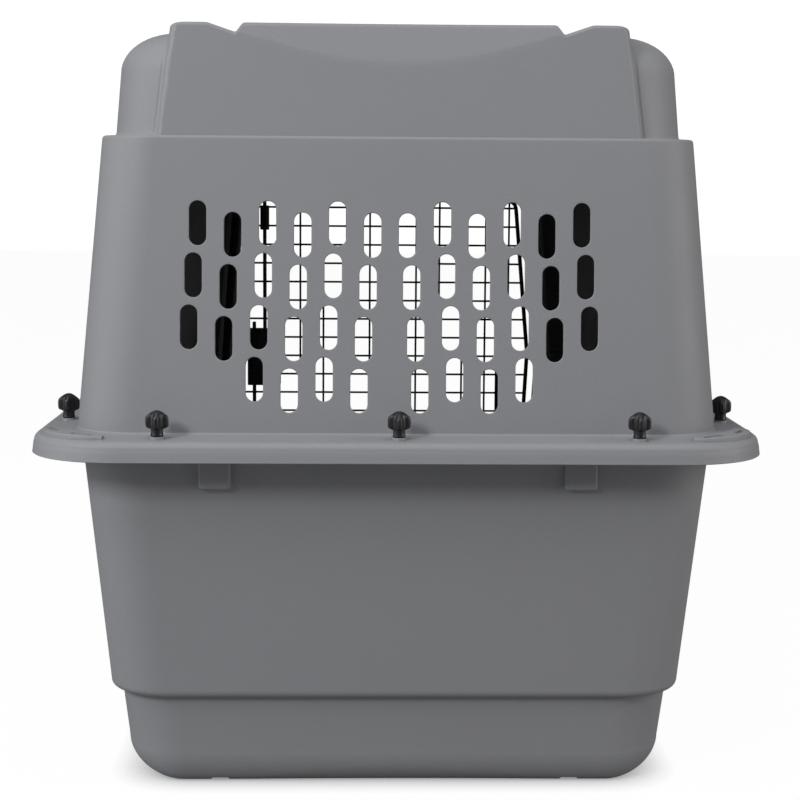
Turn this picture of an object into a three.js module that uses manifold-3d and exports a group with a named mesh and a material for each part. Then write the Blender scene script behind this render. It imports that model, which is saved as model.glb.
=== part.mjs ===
// Pet transport carrier: a two-part moulded kennel for a large dog.
// Units are millimetres, +Z is up, the door is at -Y and the origin is under the middle of the base.

import * as THREE from 'three';
import { mergeVertices } from 'three/addons/utils/BufferGeometryUtils.js';
import Module from 'manifold-3d';

// ---------------------------------------------------------------- driving dimensions

// Overall size, measured over the flange and the roof.
const WIDTH = 635;
const LENGTH = 914;
const HEIGHT = 669;

// Shells. A "half" is a half width at some height; the half length is always HALF_EXTRA more.
const HALF_EXTRA = (LENGTH - WIDTH) / 2;
const WALL = 3.2;
const GAP = 0.3;
const FLANGE_TOP = 319;
const FLANGE_RADIUS = 80;
const WALL_RADIUS = 52;
const SKIRT_HEIGHT = 17;
const PARTING = FLANGE_TOP - 5;
const TOP_FOOT_HALF = 279.5;
const LEDGE_HALF = 258;
const LEDGE_HEIGHT = FLANGE_TOP + 254.5;
const SHOULDER_FOOT_HALF = 247.5;
const SHOULDER_HEAD_HALF = 243.2;
const SHOULDER_TOP = HEIGHT - 7;
const SHOULDER_WIDE = 50;
const SHOULDER_HIGH = 36;
const BOTTOM_HEAD_HALF = 276.5;
const STEP_HALF = 256.3;
const STEP_HEIGHT = 85;
const BASE_WALL_HALF = 247;
const BASE_CORNER_WIDE = 46;
const BASE_CORNER_HIGH = 34;
const BASE_CORNER_HALF = 242;
const BASE_END_SHARE = 0.45;

// Raised centre section of the roof, with a strap groove on each side.
const SLAB_FOOT_HALF = 204;
const SLAB_TOP_HALF = 193;
const SLAB_CORNER = 10;
const SLAB_END_INSET = 2.5;
const GROOVE_X = 140;
const GROOVE_DEPTH = 8;
const GROOVE_INNER = 6;
const GROOVE_OUTER = 24.5;
const SCALLOP_DROP = 32;
const SCALLOP_STEEPNESS = 6;

// Strap grooves under the base.
const BASE_GROOVE_X = 157;
const BASE_GROOVE_WIDTH = 17;
const BASE_GROOVE_DEPTH = 3.5;

// Vent slots.
const SLOT_WIDTH = 14.6;
const SLOT_LENGTH = 37.6;
const SLOT_PITCH = 29.65;
const SLOT_ROW_PITCH = 44.2;
const SLOT_TOP_ROW = FLANGE_TOP + 181;
const SLOT_STAGGER = 9.6;
const SLOT_ROW_SHIFT = 3.7;
const REAR_SLOT_CENTRE = 8;
const REAR_SLOT_COLUMNS = 6;
const SIDE_SLOT_COLUMNS = 7;

// Doorway: widest at the parting, narrower towards its top and its sill.
const DOOR_Y = -409;
const OPENING_TOP = FLANGE_TOP + 202;
const OPENING_SILL = FLANGE_TOP - 246;
const OPENING_HALF = 199;
const OPENING_TOP_HALF = 182.5;
const OPENING_SILL_HALF = 186;
const OPENING_RADIUS = 14;
const COLLAR_WIDTH = 16;
const COLLAR_FRONT = -420;
const COLLAR_BACK = -392;

// Wire door.
const FRAME_WIRE = 5.3;
const FRAME_TOP = FLANGE_TOP + 194.5;
const FRAME_SILL = FLANGE_TOP - 238;
const FRAME_HALF = 188.5;
const FRAME_TOP_HALF = 170.5;
const FRAME_SILL_HALF = 177;
const FRAME_RADIUS = 12;
const GRILLE_WIRE = 2.4;
const GRILLE_BORDER_WIRE = 3.2;
const GRILLE_BACK_Y = DOOR_Y + 1.2;
const WIRE_PITCH_X = 30.27;
const WIRE_PITCH_Z = 24.25;
const FIRST_WIRE_X = 140.5;
const FIRST_WIRE_Z = FLANGE_TOP + 184.2;
const WIRES_DOWN = 11;
const WIRES_ACROSS = 18;
const ROD = 4.8;
const HINGE_X = -149;
const HINGE_Y = DOOR_Y - 5.6;

// Squeeze latch, drawn with its two grips squeezed together and its rods drawn in.
const LATCH_ROD_Y = DOOR_Y + 5.6;
const UPPER_ROD_X = 156.4;
const LOWER_ROD_X = 170.3;
const HOUSING = { x0: 136, x1: 178.7, y0: -415, y1: -395.5, z0: FLANGE_TOP - 48, z1: FLANGE_TOP + 26 };
const HOUSING_WALL = 2.2;
const SLIDER_HEIGHT = 20;
const SLIDER_SPLIT = FLANGE_TOP - 11;
const GRIP_DEPTH = 10;
const SPRING = { x: 145.5, y: DOOR_Y + 2, radius: 3, wire: 0.9, pocket: 9, turns: 5 };
const GUIDE = { diameter: 12, length: 31.5, upperZ: FLANGE_TOP + 170.5, lowerZ: FLANGE_TOP - 150 };

// Tie slots in the corners of the flange, measured from the middle of each corner curve.
const TIE_SLOT_TURNS = [0.15 * Math.PI, 0.35 * Math.PI];
const TIE_SLOT = { long: 22, wide: 4.8, corner: 2, reach: FLANGE_RADIUS - 16 };

// Ribs under the flange, against the wall.
const BOSS = { rearX: 157, sideY: 290, wide: 28, out: 7, low: FLANGE_TOP - 45 };

// Bolts and knobs round the flange.
const END_FASTENER_INSET = 18.5;
const SIDE_FASTENER_INSET = 22;
const REAR_FASTENER_X = [-203, 0, 203];
const FRONT_FASTENER_X = [-240, 240];
const SIDE_FASTENER_Y = [320, 107, -107, -320];
const BOLT = { shank: 6, headWide: 14, headHigh: 3.6, top: FLANGE_TOP + 17 };
const KNOB = { base: FLANGE_TOP + 3.6, height: 22, stem: 11, wings: 19.5, wingWide: 6, wingBase: 7.5 };

// ---------------------------------------------------------------- materials

const SHELL_TOP = new THREE.MeshStandardMaterial({ color: 0x898b8f, roughness: 0.62, metalness: 0 });
const SHELL_BOTTOM = new THREE.MeshStandardMaterial({ color: 0x77787c, roughness: 0.62, metalness: 0 });
const BLACK_PLASTIC = new THREE.MeshStandardMaterial({ color: 0x1c1c1e, roughness: 0.45, metalness: 0 });
const BLACK_WIRE = new THREE.MeshStandardMaterial({ color: 0x17171a, roughness: 0.4, metalness: 0.3 });
const STEEL = new THREE.MeshStandardMaterial({ color: 0x9a9da1, roughness: 0.35, metalness: 1 });

// ---------------------------------------------------------------- solids

const wasm = await Module();
wasm.setup();

const carrier = new THREE.Group();

function toSolid(geometry) {
  const bare = geometry.clone();
  bare.deleteAttribute('normal');
  bare.deleteAttribute('uv');
  const merged = mergeVertices(bare, 1e-4);
  const mesh = new wasm.Mesh({
    numProp: 3,
    vertProperties: new Float32Array(merged.attributes.position.array),
    triVerts: new Uint32Array(merged.index.array),
  });
  return new wasm.Manifold(mesh);
}

function toGeometry(solid) {
  const mesh = solid.getMesh();
  const geometry = new THREE.BufferGeometry();
  geometry.setAttribute('position', new THREE.BufferAttribute(mesh.vertProperties, mesh.numProp));
  geometry.setIndex(new THREE.BufferAttribute(mesh.triVerts, 1));
  return geometry;
}

function addPart(name, solid, material) {
  const mesh = new THREE.Mesh(toGeometry(solid), material);
  mesh.name = name;
  carrier.add(mesh);
}

function joinAll(solids) {
  return solids.reduce((joined, next) => joined.add(next));
}

function box(x0, x1, y0, y1, z0, z1) {
  const geometry = new THREE.BoxGeometry(x1 - x0, y1 - y0, z1 - z0);
  geometry.translate((x0 + x1) / 2, (y0 + y1) / 2, (z0 + z1) / 2);
  return toSolid(geometry);
}

function upright(x, y, z0, z1, diameter, sides) {
  const geometry = new THREE.CylinderGeometry(diameter / 2, diameter / 2, z1 - z0, sides);
  geometry.rotateX(Math.PI / 2);
  geometry.translate(x, y, (z0 + z1) / 2);
  return toSolid(geometry);
}

// A flat shape given thickness.
function thickened(shape, depth, curveSegments) {
  return new THREE.ExtrudeGeometry(shape, { depth, bevelEnabled: false, curveSegments });
}

// A shape drawn in X and Z, extruded along Y.
function prismAlongY(shape, y0, y1) {
  const geometry = thickened(shape, y1 - y0, 4);
  geometry.rotateX(Math.PI / 2);
  geometry.translate(0, y1, 0);
  return toSolid(geometry);
}

// A shape drawn in Y and Z, extruded along X.
function prismAlongX(shape, x0, x1) {
  const geometry = thickened(shape, x1 - x0, 4);
  geometry.rotateX(Math.PI / 2);
  geometry.rotateZ(Math.PI / 2);
  geometry.translate(x0, 0, 0);
  return toSolid(geometry);
}

// ---------------------------------------------------------------- outlines

// A polygon whose corners are rounded where a radius is given. Corners are [x, y, radius].
function roundedPolygon(corners) {
  const shape = new THREE.Shape();
  corners.forEach(([x, y, radius], index) => {
    const corner = new THREE.Vector2(x, y);
    const before = cornerNeighbour(corners, index, -1);
    const after = cornerNeighbour(corners, index, 1);
    const toBefore = before.sub(corner).normalize();
    const toAfter = after.sub(corner).normalize();
    const halfAngle = Math.acos(THREE.MathUtils.clamp(toBefore.dot(toAfter), -1, 1)) / 2;
    const setback = radius / Math.tan(halfAngle);
    const start = corner.clone().addScaledVector(toBefore, setback);
    const end = corner.clone().addScaledVector(toAfter, setback);
    if (index === 0) shape.moveTo(start.x, start.y);
    else shape.lineTo(start.x, start.y);
    if (radius > 0) shape.quadraticCurveTo(x, y, end.x, end.y);
  });
  shape.closePath();
  return shape;
}

function cornerNeighbour(corners, index, step) {
  const [x, y] = corners[(index + step + corners.length) % corners.length];
  return new THREE.Vector2(x, y);
}

// The six-sided doorway outline, grown outwards by a margin.
function doorOutline(top, topHalf, half, sill, sillHalf, radius, margin) {
  return roundedPolygon([
    [-sillHalf - margin, sill - margin, radius + margin],
    [sillHalf + margin, sill - margin, radius + margin],
    [half + margin, PARTING, 0],
    [topHalf + margin, top + margin, radius + margin],
    [-topHalf - margin, top + margin, radius + margin],
    [-half - margin, PARTING, 0],
  ]);
}

function openingOutline(margin) {
  return doorOutline(
    OPENING_TOP, OPENING_TOP_HALF, OPENING_HALF, OPENING_SILL, OPENING_SILL_HALF, OPENING_RADIUS, margin);
}

function frameOutline(margin) {
  return doorOutline(
    FRAME_TOP, FRAME_TOP_HALF, FRAME_HALF, FRAME_SILL, FRAME_SILL_HALF, FRAME_RADIUS, margin);
}

// A slot with round ends, each end drawn in three flats.
function slotShape(u, v) {
  const radius = SLOT_WIDTH / 2;
  const straight = SLOT_LENGTH / 2 - radius;
  const points = [];
  for (const end of [1, -1]) {
    for (let step = 0; step <= 3; step += 1) {
      const angle = step / 3 * Math.PI;
      points.push(new THREE.Vector2(
        u + end * radius * Math.cos(angle), v + end * (straight + radius * Math.sin(angle))));
    }
  }
  return new THREE.Shape(points);
}

// ---------------------------------------------------------------- lofted shells

// One level of a shell: a rounded rectangle at a height, which may reach further out at its ends.
function level(half, z, radius, endReach = 0) {
  const segments = 4;
  const points = [];
  const halfLength = half + HALF_EXTRA + endReach;
  for (let corner = 0; corner < 4; corner += 1) {
    const signX = corner === 0 || corner === 3 ? 1 : -1;
    const signY = corner < 2 ? 1 : -1;
    for (let step = 0; step <= segments; step += 1) {
      const angle = (corner + step / segments) * Math.PI / 2;
      const x = signX * (half - radius) + radius * Math.cos(angle);
      const y = signY * (halfLength - radius) + radius * Math.sin(angle);
      points.push(x, y, z);
    }
  }
  return points;
}

// Skin joining successive levels, capped at both ends.
function loft(levels) {
  const count = levels[0].length / 3;
  const index = [];
  for (let step = 2; step < count; step += 1) index.push(0, step, step - 1);
  for (let row = 0; row + 1 < levels.length; row += 1) {
    for (let i = 0; i < count; i += 1) {
      const a = row * count + i;
      const b = row * count + (i + 1) % count;
      index.push(a, b, b + count, a, b + count, a + count);
    }
  }
  const last = (levels.length - 1) * count;
  for (let step = 2; step < count; step += 1) index.push(last, last + step - 1, last + step);
  const geometry = new THREE.BufferGeometry();
  geometry.setAttribute('position', new THREE.Float32BufferAttribute(levels.flat(), 3));
  geometry.setIndex(index);
  return toSolid(geometry);
}

// Levels of a quarter ellipse that rolls a wall over into a flat top or base.
// At the two ends it rolls in by endShare of its width.
function rolledLevels(half, z, wide, high, radius, endShare = 1) {
  const steps = 5;
  const levels = [];
  for (let step = 1; step <= steps; step += 1) {
    const angle = step / steps * Math.PI / 2;
    const inset = wide * (1 - Math.cos(angle));
    const corner = Math.max(radius - inset, 8);
    levels.push(level(half - inset, z + high * Math.sin(angle), corner, inset * (1 - endShare)));
  }
  return levels;
}

function topOuterLevels() {
  const skirt = WIDTH / 2;
  const shoulderStart = SHOULDER_TOP - SHOULDER_HIGH;
  return [
    level(skirt, FLANGE_TOP - SKIRT_HEIGHT, FLANGE_RADIUS),
    level(skirt - 1.6, FLANGE_TOP - 4, FLANGE_RADIUS),
    level(skirt - 3, FLANGE_TOP - 1, FLANGE_RADIUS),
    level(skirt - 6, FLANGE_TOP + 0.3, FLANGE_RADIUS - 4),
    level(TOP_FOOT_HALF + 2, FLANGE_TOP + 4, WALL_RADIUS + 2),
    level(TOP_FOOT_HALF - 0.2, FLANGE_TOP + 6.5, WALL_RADIUS),
    level(LEDGE_HALF, LEDGE_HEIGHT - 2.5, WALL_RADIUS - 4),
    level(LEDGE_HALF - 2.5, LEDGE_HEIGHT, WALL_RADIUS - 6),
    level(SHOULDER_FOOT_HALF, LEDGE_HEIGHT + 0.4, WALL_RADIUS + 4),
    level(SHOULDER_HEAD_HALF, shoulderStart, WALL_RADIUS + 4),
    ...rolledLevels(SHOULDER_HEAD_HALF, shoulderStart, SHOULDER_WIDE, SHOULDER_HIGH, WALL_RADIUS + 4),
  ];
}

function topInnerLevels() {
  const skirt = WIDTH / 2 - WALL + 0.4;
  const underside = PARTING + GAP;
  const shoulderHigh = SHOULDER_HIGH - WALL / 2;
  const shoulderStart = SHOULDER_TOP - WALL - shoulderHigh;
  const radius = WALL_RADIUS - WALL;
  const levels = [
    level(skirt, FLANGE_TOP - SKIRT_HEIGHT, FLANGE_RADIUS - WALL),
    level(skirt - 1.6, underside, FLANGE_RADIUS - WALL),
    level(TOP_FOOT_HALF - WALL, underside, radius),
    level(LEDGE_HALF - WALL, LEDGE_HEIGHT - WALL, radius - 4),
    level(SHOULDER_FOOT_HALF - WALL, LEDGE_HEIGHT - WALL + 0.4, radius + 4),
    level(SHOULDER_HEAD_HALF - WALL, shoulderStart, radius + 4),
    ...rolledLevels(SHOULDER_HEAD_HALF - WALL, shoulderStart, SHOULDER_WIDE, shoulderHigh, radius + 4),
  ];
  return levels.reverse();
}

function bottomOuterLevels() {
  const base = rolledLevels(
    BASE_CORNER_HALF, -BASE_CORNER_HIGH, BASE_CORNER_WIDE, BASE_CORNER_HIGH, WALL_RADIUS, BASE_END_SHARE);
  return [
    ...base.reverse().map((points) => flipUp(points)),
    level(BASE_CORNER_HALF, BASE_CORNER_HIGH, WALL_RADIUS),
    level(BASE_WALL_HALF, STEP_HEIGHT - 1.5, WALL_RADIUS),
    level(BASE_WALL_HALF + 3.5, STEP_HEIGHT, WALL_RADIUS),
    level(STEP_HALF - 1.8, STEP_HEIGHT + 2.5, WALL_RADIUS),
    level(STEP_HALF, STEP_HEIGHT + 8, WALL_RADIUS),
    level(BOTTOM_HEAD_HALF, PARTING - WALL, WALL_RADIUS),
    level(WIDTH / 2 - 6.1, PARTING - WALL, FLANGE_RADIUS - 6.1),
    level(WIDTH / 2 - 6.1, PARTING, FLANGE_RADIUS - 6.1),
  ];
}

function bottomInnerLevels() {
  const radius = WALL_RADIUS - WALL;
  const wide = BASE_CORNER_WIDE - WALL / 2;
  const high = BASE_CORNER_HIGH - WALL;
  const base = rolledLevels(
    BASE_CORNER_HALF - WALL, -BASE_CORNER_HIGH, wide, high, radius, BASE_END_SHARE);
  const levels = [
    ...base.reverse().map((points) => flipUp(points)),
    level(BASE_CORNER_HALF - WALL, BASE_CORNER_HIGH, radius),
    level(BASE_WALL_HALF - WALL, STEP_HEIGHT + WALL - 1.5, radius),
    level(STEP_HALF - 2.5 - WALL, STEP_HEIGHT + WALL, radius),
    level(STEP_HALF - WALL, STEP_HEIGHT + WALL + 6, radius),
    level(BOTTOM_HEAD_HALF - WALL, PARTING, radius),
  ];
  return levels.reverse();
}

// Turns levels rolled over a flat top at z = 0 into levels rolled under a flat base.
function flipUp(points) {
  return points.map((value, i) => (i % 3 === 2 ? -value : value));
}

// ---------------------------------------------------------------- roof

// Cross section of the raised centre of the roof, shrunk by an inset for its inside.
function slabSection(inset) {
  const top = HEIGHT - inset;
  const low = LEDGE_HEIGHT - 12;
  const corner = Math.max(SLAB_CORNER - inset, 2);
  const half = [
    [SLAB_TOP_HALF - inset, top, corner],
    [GROOVE_X + GROOVE_OUTER, top, 0],
    [GROOVE_X, top - GROOVE_DEPTH, 0],
    [GROOVE_X - GROOVE_INNER - inset / 2, top, 0],
  ];
  const mirrored = half.map(([x, y, radius]) => [-x, y, radius]).reverse();
  return roundedPolygon([
    [-SLAB_FOOT_HALF + inset, low, 0],
    [SLAB_FOOT_HALF - inset, low, 0],
    ...half,
    ...mirrored,
  ]);
}

// Side view of the same section: its two ends lean inwards like the walls under them.
function slabSideView(inset) {
  const foot = LEDGE_HALF + HALF_EXTRA - SLAB_END_INSET - inset;
  const lean = (TOP_FOOT_HALF - LEDGE_HALF) / (LEDGE_HEIGHT - FLANGE_TOP);
  const low = LEDGE_HEIGHT - 12;
  const top = HEIGHT - inset;
  const head = foot - lean * (HEIGHT - LEDGE_HEIGHT);
  return roundedPolygon([
    [-foot, low, 0],
    [foot, low, 0],
    [foot, LEDGE_HEIGHT, 0],
    [head, top, 6],
    [-head, top, 6],
    [-foot, LEDGE_HEIGHT, 0],
  ]);
}

// Bowl-shaped bevel across an end of the roof between its strap grooves.
function scallopCut(drop) {
  const shape = new THREE.Shape();
  const steps = 8;
  for (let step = 0; step <= steps; step += 1) {
    const t = step / steps * 2 - 1;
    const z = HEIGHT - GROOVE_DEPTH - (SCALLOP_DROP - GROOVE_DEPTH) * (1 - t * t) - drop;
    if (step === 0) shape.moveTo(t * GROOVE_X, z);
    else shape.lineTo(t * GROOVE_X, z);
  }
  shape.lineTo(GROOVE_X, HEIGHT + 60);
  shape.lineTo(-GROOVE_X, HEIGHT + 60);
  const geometry = thickened(shape, 40, 1);
  const face = LEDGE_HALF + HALF_EXTRA - SLAB_END_INSET;
  const lean = (TOP_FOOT_HALF - LEDGE_HALF) / (LEDGE_HEIGHT - FLANGE_TOP);
  const skew = new THREE.Matrix4().set(
    1, 0, 0, 0,
    0, 0, -1, face - lean * (HEIGHT - SCALLOP_DROP - LEDGE_HEIGHT) + 10,
    0, 1, SCALLOP_STEEPNESS, -10 * SCALLOP_STEEPNESS,
    0, 0, 0, 1);
  geometry.applyMatrix4(skew);
  return toSolid(geometry);
}

function bothEnds(solid) {
  return solid.add(solid.mirror([0, 1, 0]));
}

function roofSlab(inset) {
  const long = LENGTH / 2;
  const block = prismAlongY(slabSection(inset), -long, long);
  const ends = prismAlongX(slabSideView(inset), -WIDTH / 2, WIDTH / 2);
  return block.intersect(ends).subtract(bothEnds(scallopCut(inset * 1.5)));
}

// ---------------------------------------------------------------- vents

// Slots in two mirrored halves; rows spread outwards as they go down, and the lowest row is shorter.
function ventSlots(columns, shortBy, makeSlot) {
  const slots = [];
  for (let row = 0; row < 4; row += 1) {
    const used = row === 3 ? columns - shortBy : columns;
    for (let column = 0; column < used; column += 1) {
      const low = column % 2 === 0 ? SLOT_STAGGER : 0;
      const out = SLOT_PITCH * (column + 0.5) + SLOT_ROW_SHIFT * row;
      const z = SLOT_TOP_ROW - row * SLOT_ROW_PITCH - low;
      slots.push(makeSlot(out, z), makeSlot(-out, z));
    }
  }
  return joinAll(slots);
}

function rearVents() {
  return ventSlots(REAR_SLOT_COLUMNS, 2, (out, z) => (
    prismAlongY(slotShape(out + REAR_SLOT_CENTRE, z), LENGTH / 2 - 80, LENGTH / 2)));
}

function sideVents() {
  const span = WIDTH / 2;
  return ventSlots(SIDE_SLOT_COLUMNS, 2, (out, z) => {
    const slot = slotShape(out, z);
    return prismAlongX(slot, -span, -span + 80).add(prismAlongX(slot, span - 80, span));
  });
}

// ---------------------------------------------------------------- flange

function fastenerPlaces() {
  const x = WIDTH / 2 - SIDE_FASTENER_INSET;
  const y = LENGTH / 2 - END_FASTENER_INSET;
  const places = [];
  REAR_FASTENER_X.forEach((at, i) => places.push({ name: `rear_${i + 1}`, x: at, y }));
  SIDE_FASTENER_Y.forEach((at, i) => places.push({ name: `left_${i + 1}`, x: -x, y: at }));
  SIDE_FASTENER_Y.forEach((at, i) => places.push({ name: `right_${i + 1}`, x, y: at }));
  FRONT_FASTENER_X.forEach((at, i) => places.push({ name: `front_${i + 1}`, x: at, y: -y }));
  return places;
}

function boltHoles() {
  const diameter = BOLT.shank + 1;
  return joinAll(fastenerPlaces().map(({ x, y }) => (
    upright(x, y, PARTING - 20, FLANGE_TOP + 20, diameter, 8))));
}

// Two tie slots through each corner of the flange, following its curve.
function cornerSlots() {
  const { long, wide, corner, reach } = TIE_SLOT;
  const outline = [[-long, -wide], [long, -wide], [long, wide], [-long, wide]];
  const slots = [];
  for (const signX of [-1, 1]) {
    for (const signY of [-1, 1]) {
      for (const turn of TIE_SLOT_TURNS) {
        const shape = roundedPolygon(outline.map(([x, y]) => [x / 2, y / 2, corner]));
        const geometry = thickened(shape, 40, 2);
        const angle = Math.atan2(signY * Math.sin(turn), signX * Math.cos(turn));
        geometry.rotateZ(angle + Math.PI / 2);
        geometry.translate(
          signX * (WIDTH / 2 - FLANGE_RADIUS) + reach * Math.cos(angle),
          signY * (LENGTH / 2 - FLANGE_RADIUS) + reach * Math.sin(angle),
          PARTING - 20);
        slots.push(toSolid(geometry));
      }
    }
  }
  return joinAll(slots);
}

// Low ribs under the bottom flange, four on the long sides and two at the rear.
function flangeBosses() {
  const half = BOSS.wide / 2;
  const rear = BOTTOM_HEAD_HALF + HALF_EXTRA;
  const side = BOTTOM_HEAD_HALF;
  const root = 12;
  const bosses = [];
  for (const sign of [-1, 1]) {
    const x = sign * BOSS.rearX;
    bosses.push(box(x - half, x + half, rear - root, rear + BOSS.out, BOSS.low, PARTING - 1));
    const x0 = sign > 0 ? side - root : -side - BOSS.out;
    const x1 = x0 + root + BOSS.out;
    for (const y of [-BOSS.sideY, BOSS.sideY]) {
      bosses.push(box(x0, x1, y - half, y + half, BOSS.low, PARTING - 1));
    }
  }
  return joinAll(bosses);
}

// ---------------------------------------------------------------- doorway

// Hollow surround that stands the door upright in the leaning front wall.
function collar() {
  return prismAlongY(openingOutline(COLLAR_WIDTH), COLLAR_FRONT, COLLAR_BACK);
}

function collarHollow() {
  const outside = prismAlongY(openingOutline(COLLAR_WIDTH - WALL), COLLAR_FRONT + WALL, COLLAR_BACK + 20);
  return outside.subtract(prismAlongY(openingOutline(WALL), COLLAR_FRONT, COLLAR_BACK + 40));
}

// The flange stops at each side of the doorway.
function doorwayGap() {
  const half = OPENING_HALF + COLLAR_WIDTH;
  return box(-half, half, -LENGTH / 2 - 1, COLLAR_FRONT, FLANGE_TOP - 30, FLANGE_TOP + 30);
}

function doorway() {
  return prismAlongY(openingOutline(0), COLLAR_FRONT - 40, COLLAR_BACK + 60);
}

// Blind holes in the surround that take the ends of the hinge rod and of the latch rods.
function keeperHoles() {
  const deep = 9;
  const wide = ROD + 1.6;
  const above = (x, y) => upright(x, y, OPENING_TOP - 30, OPENING_TOP + deep, wide, 8);
  const below = (x, y) => upright(x, y, OPENING_SILL - deep, OPENING_SILL + 30, wide, 8);
  return joinAll([
    above(HINGE_X, HINGE_Y),
    below(HINGE_X, HINGE_Y),
    above(UPPER_ROD_X, LATCH_ROD_Y),
    below(LOWER_ROD_X, LATCH_ROD_Y),
  ]);
}

// ---------------------------------------------------------------- shells

function topShell() {
  const shell = loft([...topInnerLevels(), ...topOuterLevels()]);
  const cabin = loft([...topInnerLevels()].reverse());
  const upper = box(-WIDTH, WIDTH, -LENGTH, LENGTH, PARTING + GAP, HEIGHT + 1);
  const surround = collar().subtract(collarHollow()).intersect(upper);
  return shell
    .add(roofSlab(0).subtract(cabin))
    .subtract(roofSlab(WALL))
    .subtract(collarHollow().intersect(upper))
    .add(surround)
    .subtract(doorway())
    .subtract(doorwayGap())
    .subtract(keeperHoles())
    .subtract(rearVents())
    .subtract(sideVents())
    .subtract(boltHoles())
    .subtract(cornerSlots());
}

// Channels for tie-down straps under the base, with the floor raised over them.
function strapChannels(halfWide, halfLong, z0, z1) {
  return joinAll([-BASE_GROOVE_X, BASE_GROOVE_X].map((x) => (
    box(x - halfWide, x + halfWide, -halfLong, halfLong, z0, z1))));
}

function baseGrooves() {
  return strapChannels(BASE_GROOVE_WIDTH / 2, LENGTH, -1, BASE_GROOVE_DEPTH);
}

function baseRidges() {
  const long = BASE_CORNER_HALF + HALF_EXTRA - BASE_CORNER_WIDE + 10;
  return strapChannels(BASE_GROOVE_WIDTH / 2 + WALL, long, 1, BASE_GROOVE_DEPTH + WALL);
}

function bottomShell() {
  const shell = loft([...bottomOuterLevels(), ...bottomInnerLevels()]);
  const lower = box(-WIDTH, WIDTH, -LENGTH, LENGTH, 0, PARTING);
  const hollow = collarHollow().intersect(lower);
  const surround = collar().subtract(collarHollow()).intersect(lower);
  const inside = loft([...bottomInnerLevels()].reverse());
  return shell
    .add(flangeBosses().subtract(inside))
    .add(baseRidges())
    .subtract(baseGrooves())
    .subtract(hollow)
    .add(surround)
    .subtract(doorway())
    .subtract(doorwayGap())
    .subtract(keeperHoles())
    .subtract(boltHoles())
    .subtract(cornerSlots());
}

// ---------------------------------------------------------------- fasteners

function boltSolid(x, y) {
  const under = PARTING - WALL - GAP;
  const head = upright(x, y, under - BOLT.headHigh, under, BOLT.headWide, 8);
  return head.add(upright(x, y, under - 1, BOLT.top, BOLT.shank, 6));
}

// Domed core on a stem, with four upright wings and a blind bore for the bolt.
function knobSolid(x, y) {
  const stem = KNOB.stem / 2;
  const profile = [
    [0, 0],
    [stem, 0],
    [stem, KNOB.height - 4],
    [stem * 0.7, KNOB.height - 1],
    [0, KNOB.height],
  ].map(([r, z]) => new THREE.Vector2(r, z));
  const core = new THREE.LatheGeometry(profile, 8);
  core.rotateX(Math.PI / 2);
  core.translate(x, y, KNOB.base);
  const wing = KNOB.wings / 2;
  const thick = KNOB.wingWide / 2;
  const low = KNOB.base + KNOB.wingBase;
  const high = KNOB.base + KNOB.height - 3;
  return toSolid(core)
    .add(box(x - wing, x + wing, y - thick, y + thick, low, high))
    .add(box(x - thick, x + thick, y - wing, y + wing, low, high))
    .subtract(upright(x, y, KNOB.base - 1, BOLT.top + 1, BOLT.shank + 0.8, 8));
}

// ---------------------------------------------------------------- door

// A round wire bent along a closed outline in the plane of the door.
function wireLoop(shape, y, diameter, sides) {
  const outline = shape.getPoints(3);
  const corners = outline.filter((point, i) => point.distanceTo(outline[(i + 1) % outline.length]) > 0.01);
  const positions = [];
  const count = corners.length;
  corners.forEach((corner, i) => {
    const before = corner.clone().sub(corners[(i + count - 1) % count]).normalize();
    const after = corners[(i + 1) % count].clone().sub(corner).normalize();
    const bisector = before.clone().add(after).normalize();
    const across = new THREE.Vector2(bisector.y, -bisector.x);
    const stretch = 1 / across.dot(new THREE.Vector2(after.y, -after.x));
    for (let side = 0; side < sides; side += 1) {
      const angle = (side + 0.5) / sides * 2 * Math.PI;
      const out = Math.cos(angle) * stretch * diameter / 2;
      const back = Math.sin(angle) * diameter / 2;
      positions.push(corner.x + across.x * out, y + back, corner.y + across.y * out);
    }
  });
  const index = [];
  for (let i = 0; i < count; i += 1) {
    for (let side = 0; side < sides; side += 1) {
      const a = i * sides + side;
      const b = i * sides + (side + 1) % sides;
      const c = ((i + 1) % count) * sides + (side + 1) % sides;
      const d = ((i + 1) % count) * sides + side;
      index.push(a, b, c, a, c, d);
    }
  }
  const geometry = new THREE.BufferGeometry();
  geometry.setAttribute('position', new THREE.Float32BufferAttribute(positions, 3));
  geometry.setIndex(index);
  return toSolid(geometry);
}

// Upright wires behind, level wires in front. The outermost ones are thicker, and join the rest.
function grille() {
  const frontY = GRILLE_BACK_Y - GRILLE_WIRE - 0.1;
  const low = FRAME_SILL - 20;
  const high = FRAME_TOP + 20;
  const wires = [];
  for (let i = 0; i < WIRES_DOWN; i += 1) {
    const border = i === 0 || i === WIRES_DOWN - 1;
    const half = (border ? GRILLE_BORDER_WIRE : GRILLE_WIRE) / 2;
    const x = FIRST_WIRE_X - i * WIRE_PITCH_X;
    wires.push(box(x - half, x + half, GRILLE_BACK_Y - half, GRILLE_BACK_Y + half, low, high));
  }
  for (let i = 0; i < WIRES_ACROSS; i += 1) {
    const border = i === 0 || i === WIRES_ACROSS - 1;
    const half = (border ? GRILLE_BORDER_WIRE : GRILLE_WIRE) / 2;
    const z = FIRST_WIRE_Z - i * WIRE_PITCH_Z;
    wires.push(box(-WIDTH / 2, WIDTH / 2, frontY - half, frontY + half, z - half, z + half));
  }
  const inside = prismAlongY(frameOutline(-FRAME_WIRE / 2 - GAP), DOOR_Y - 20, DOOR_Y + 20);
  const latchRoom = box(
    HOUSING.x0 - GAP, WIDTH / 2, HOUSING.y0 - 1, HOUSING.y1 + 1, HOUSING.z0 - GAP, HOUSING.z1 + GAP);
  return joinAll(wires).intersect(inside).subtract(latchRoom);
}

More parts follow.
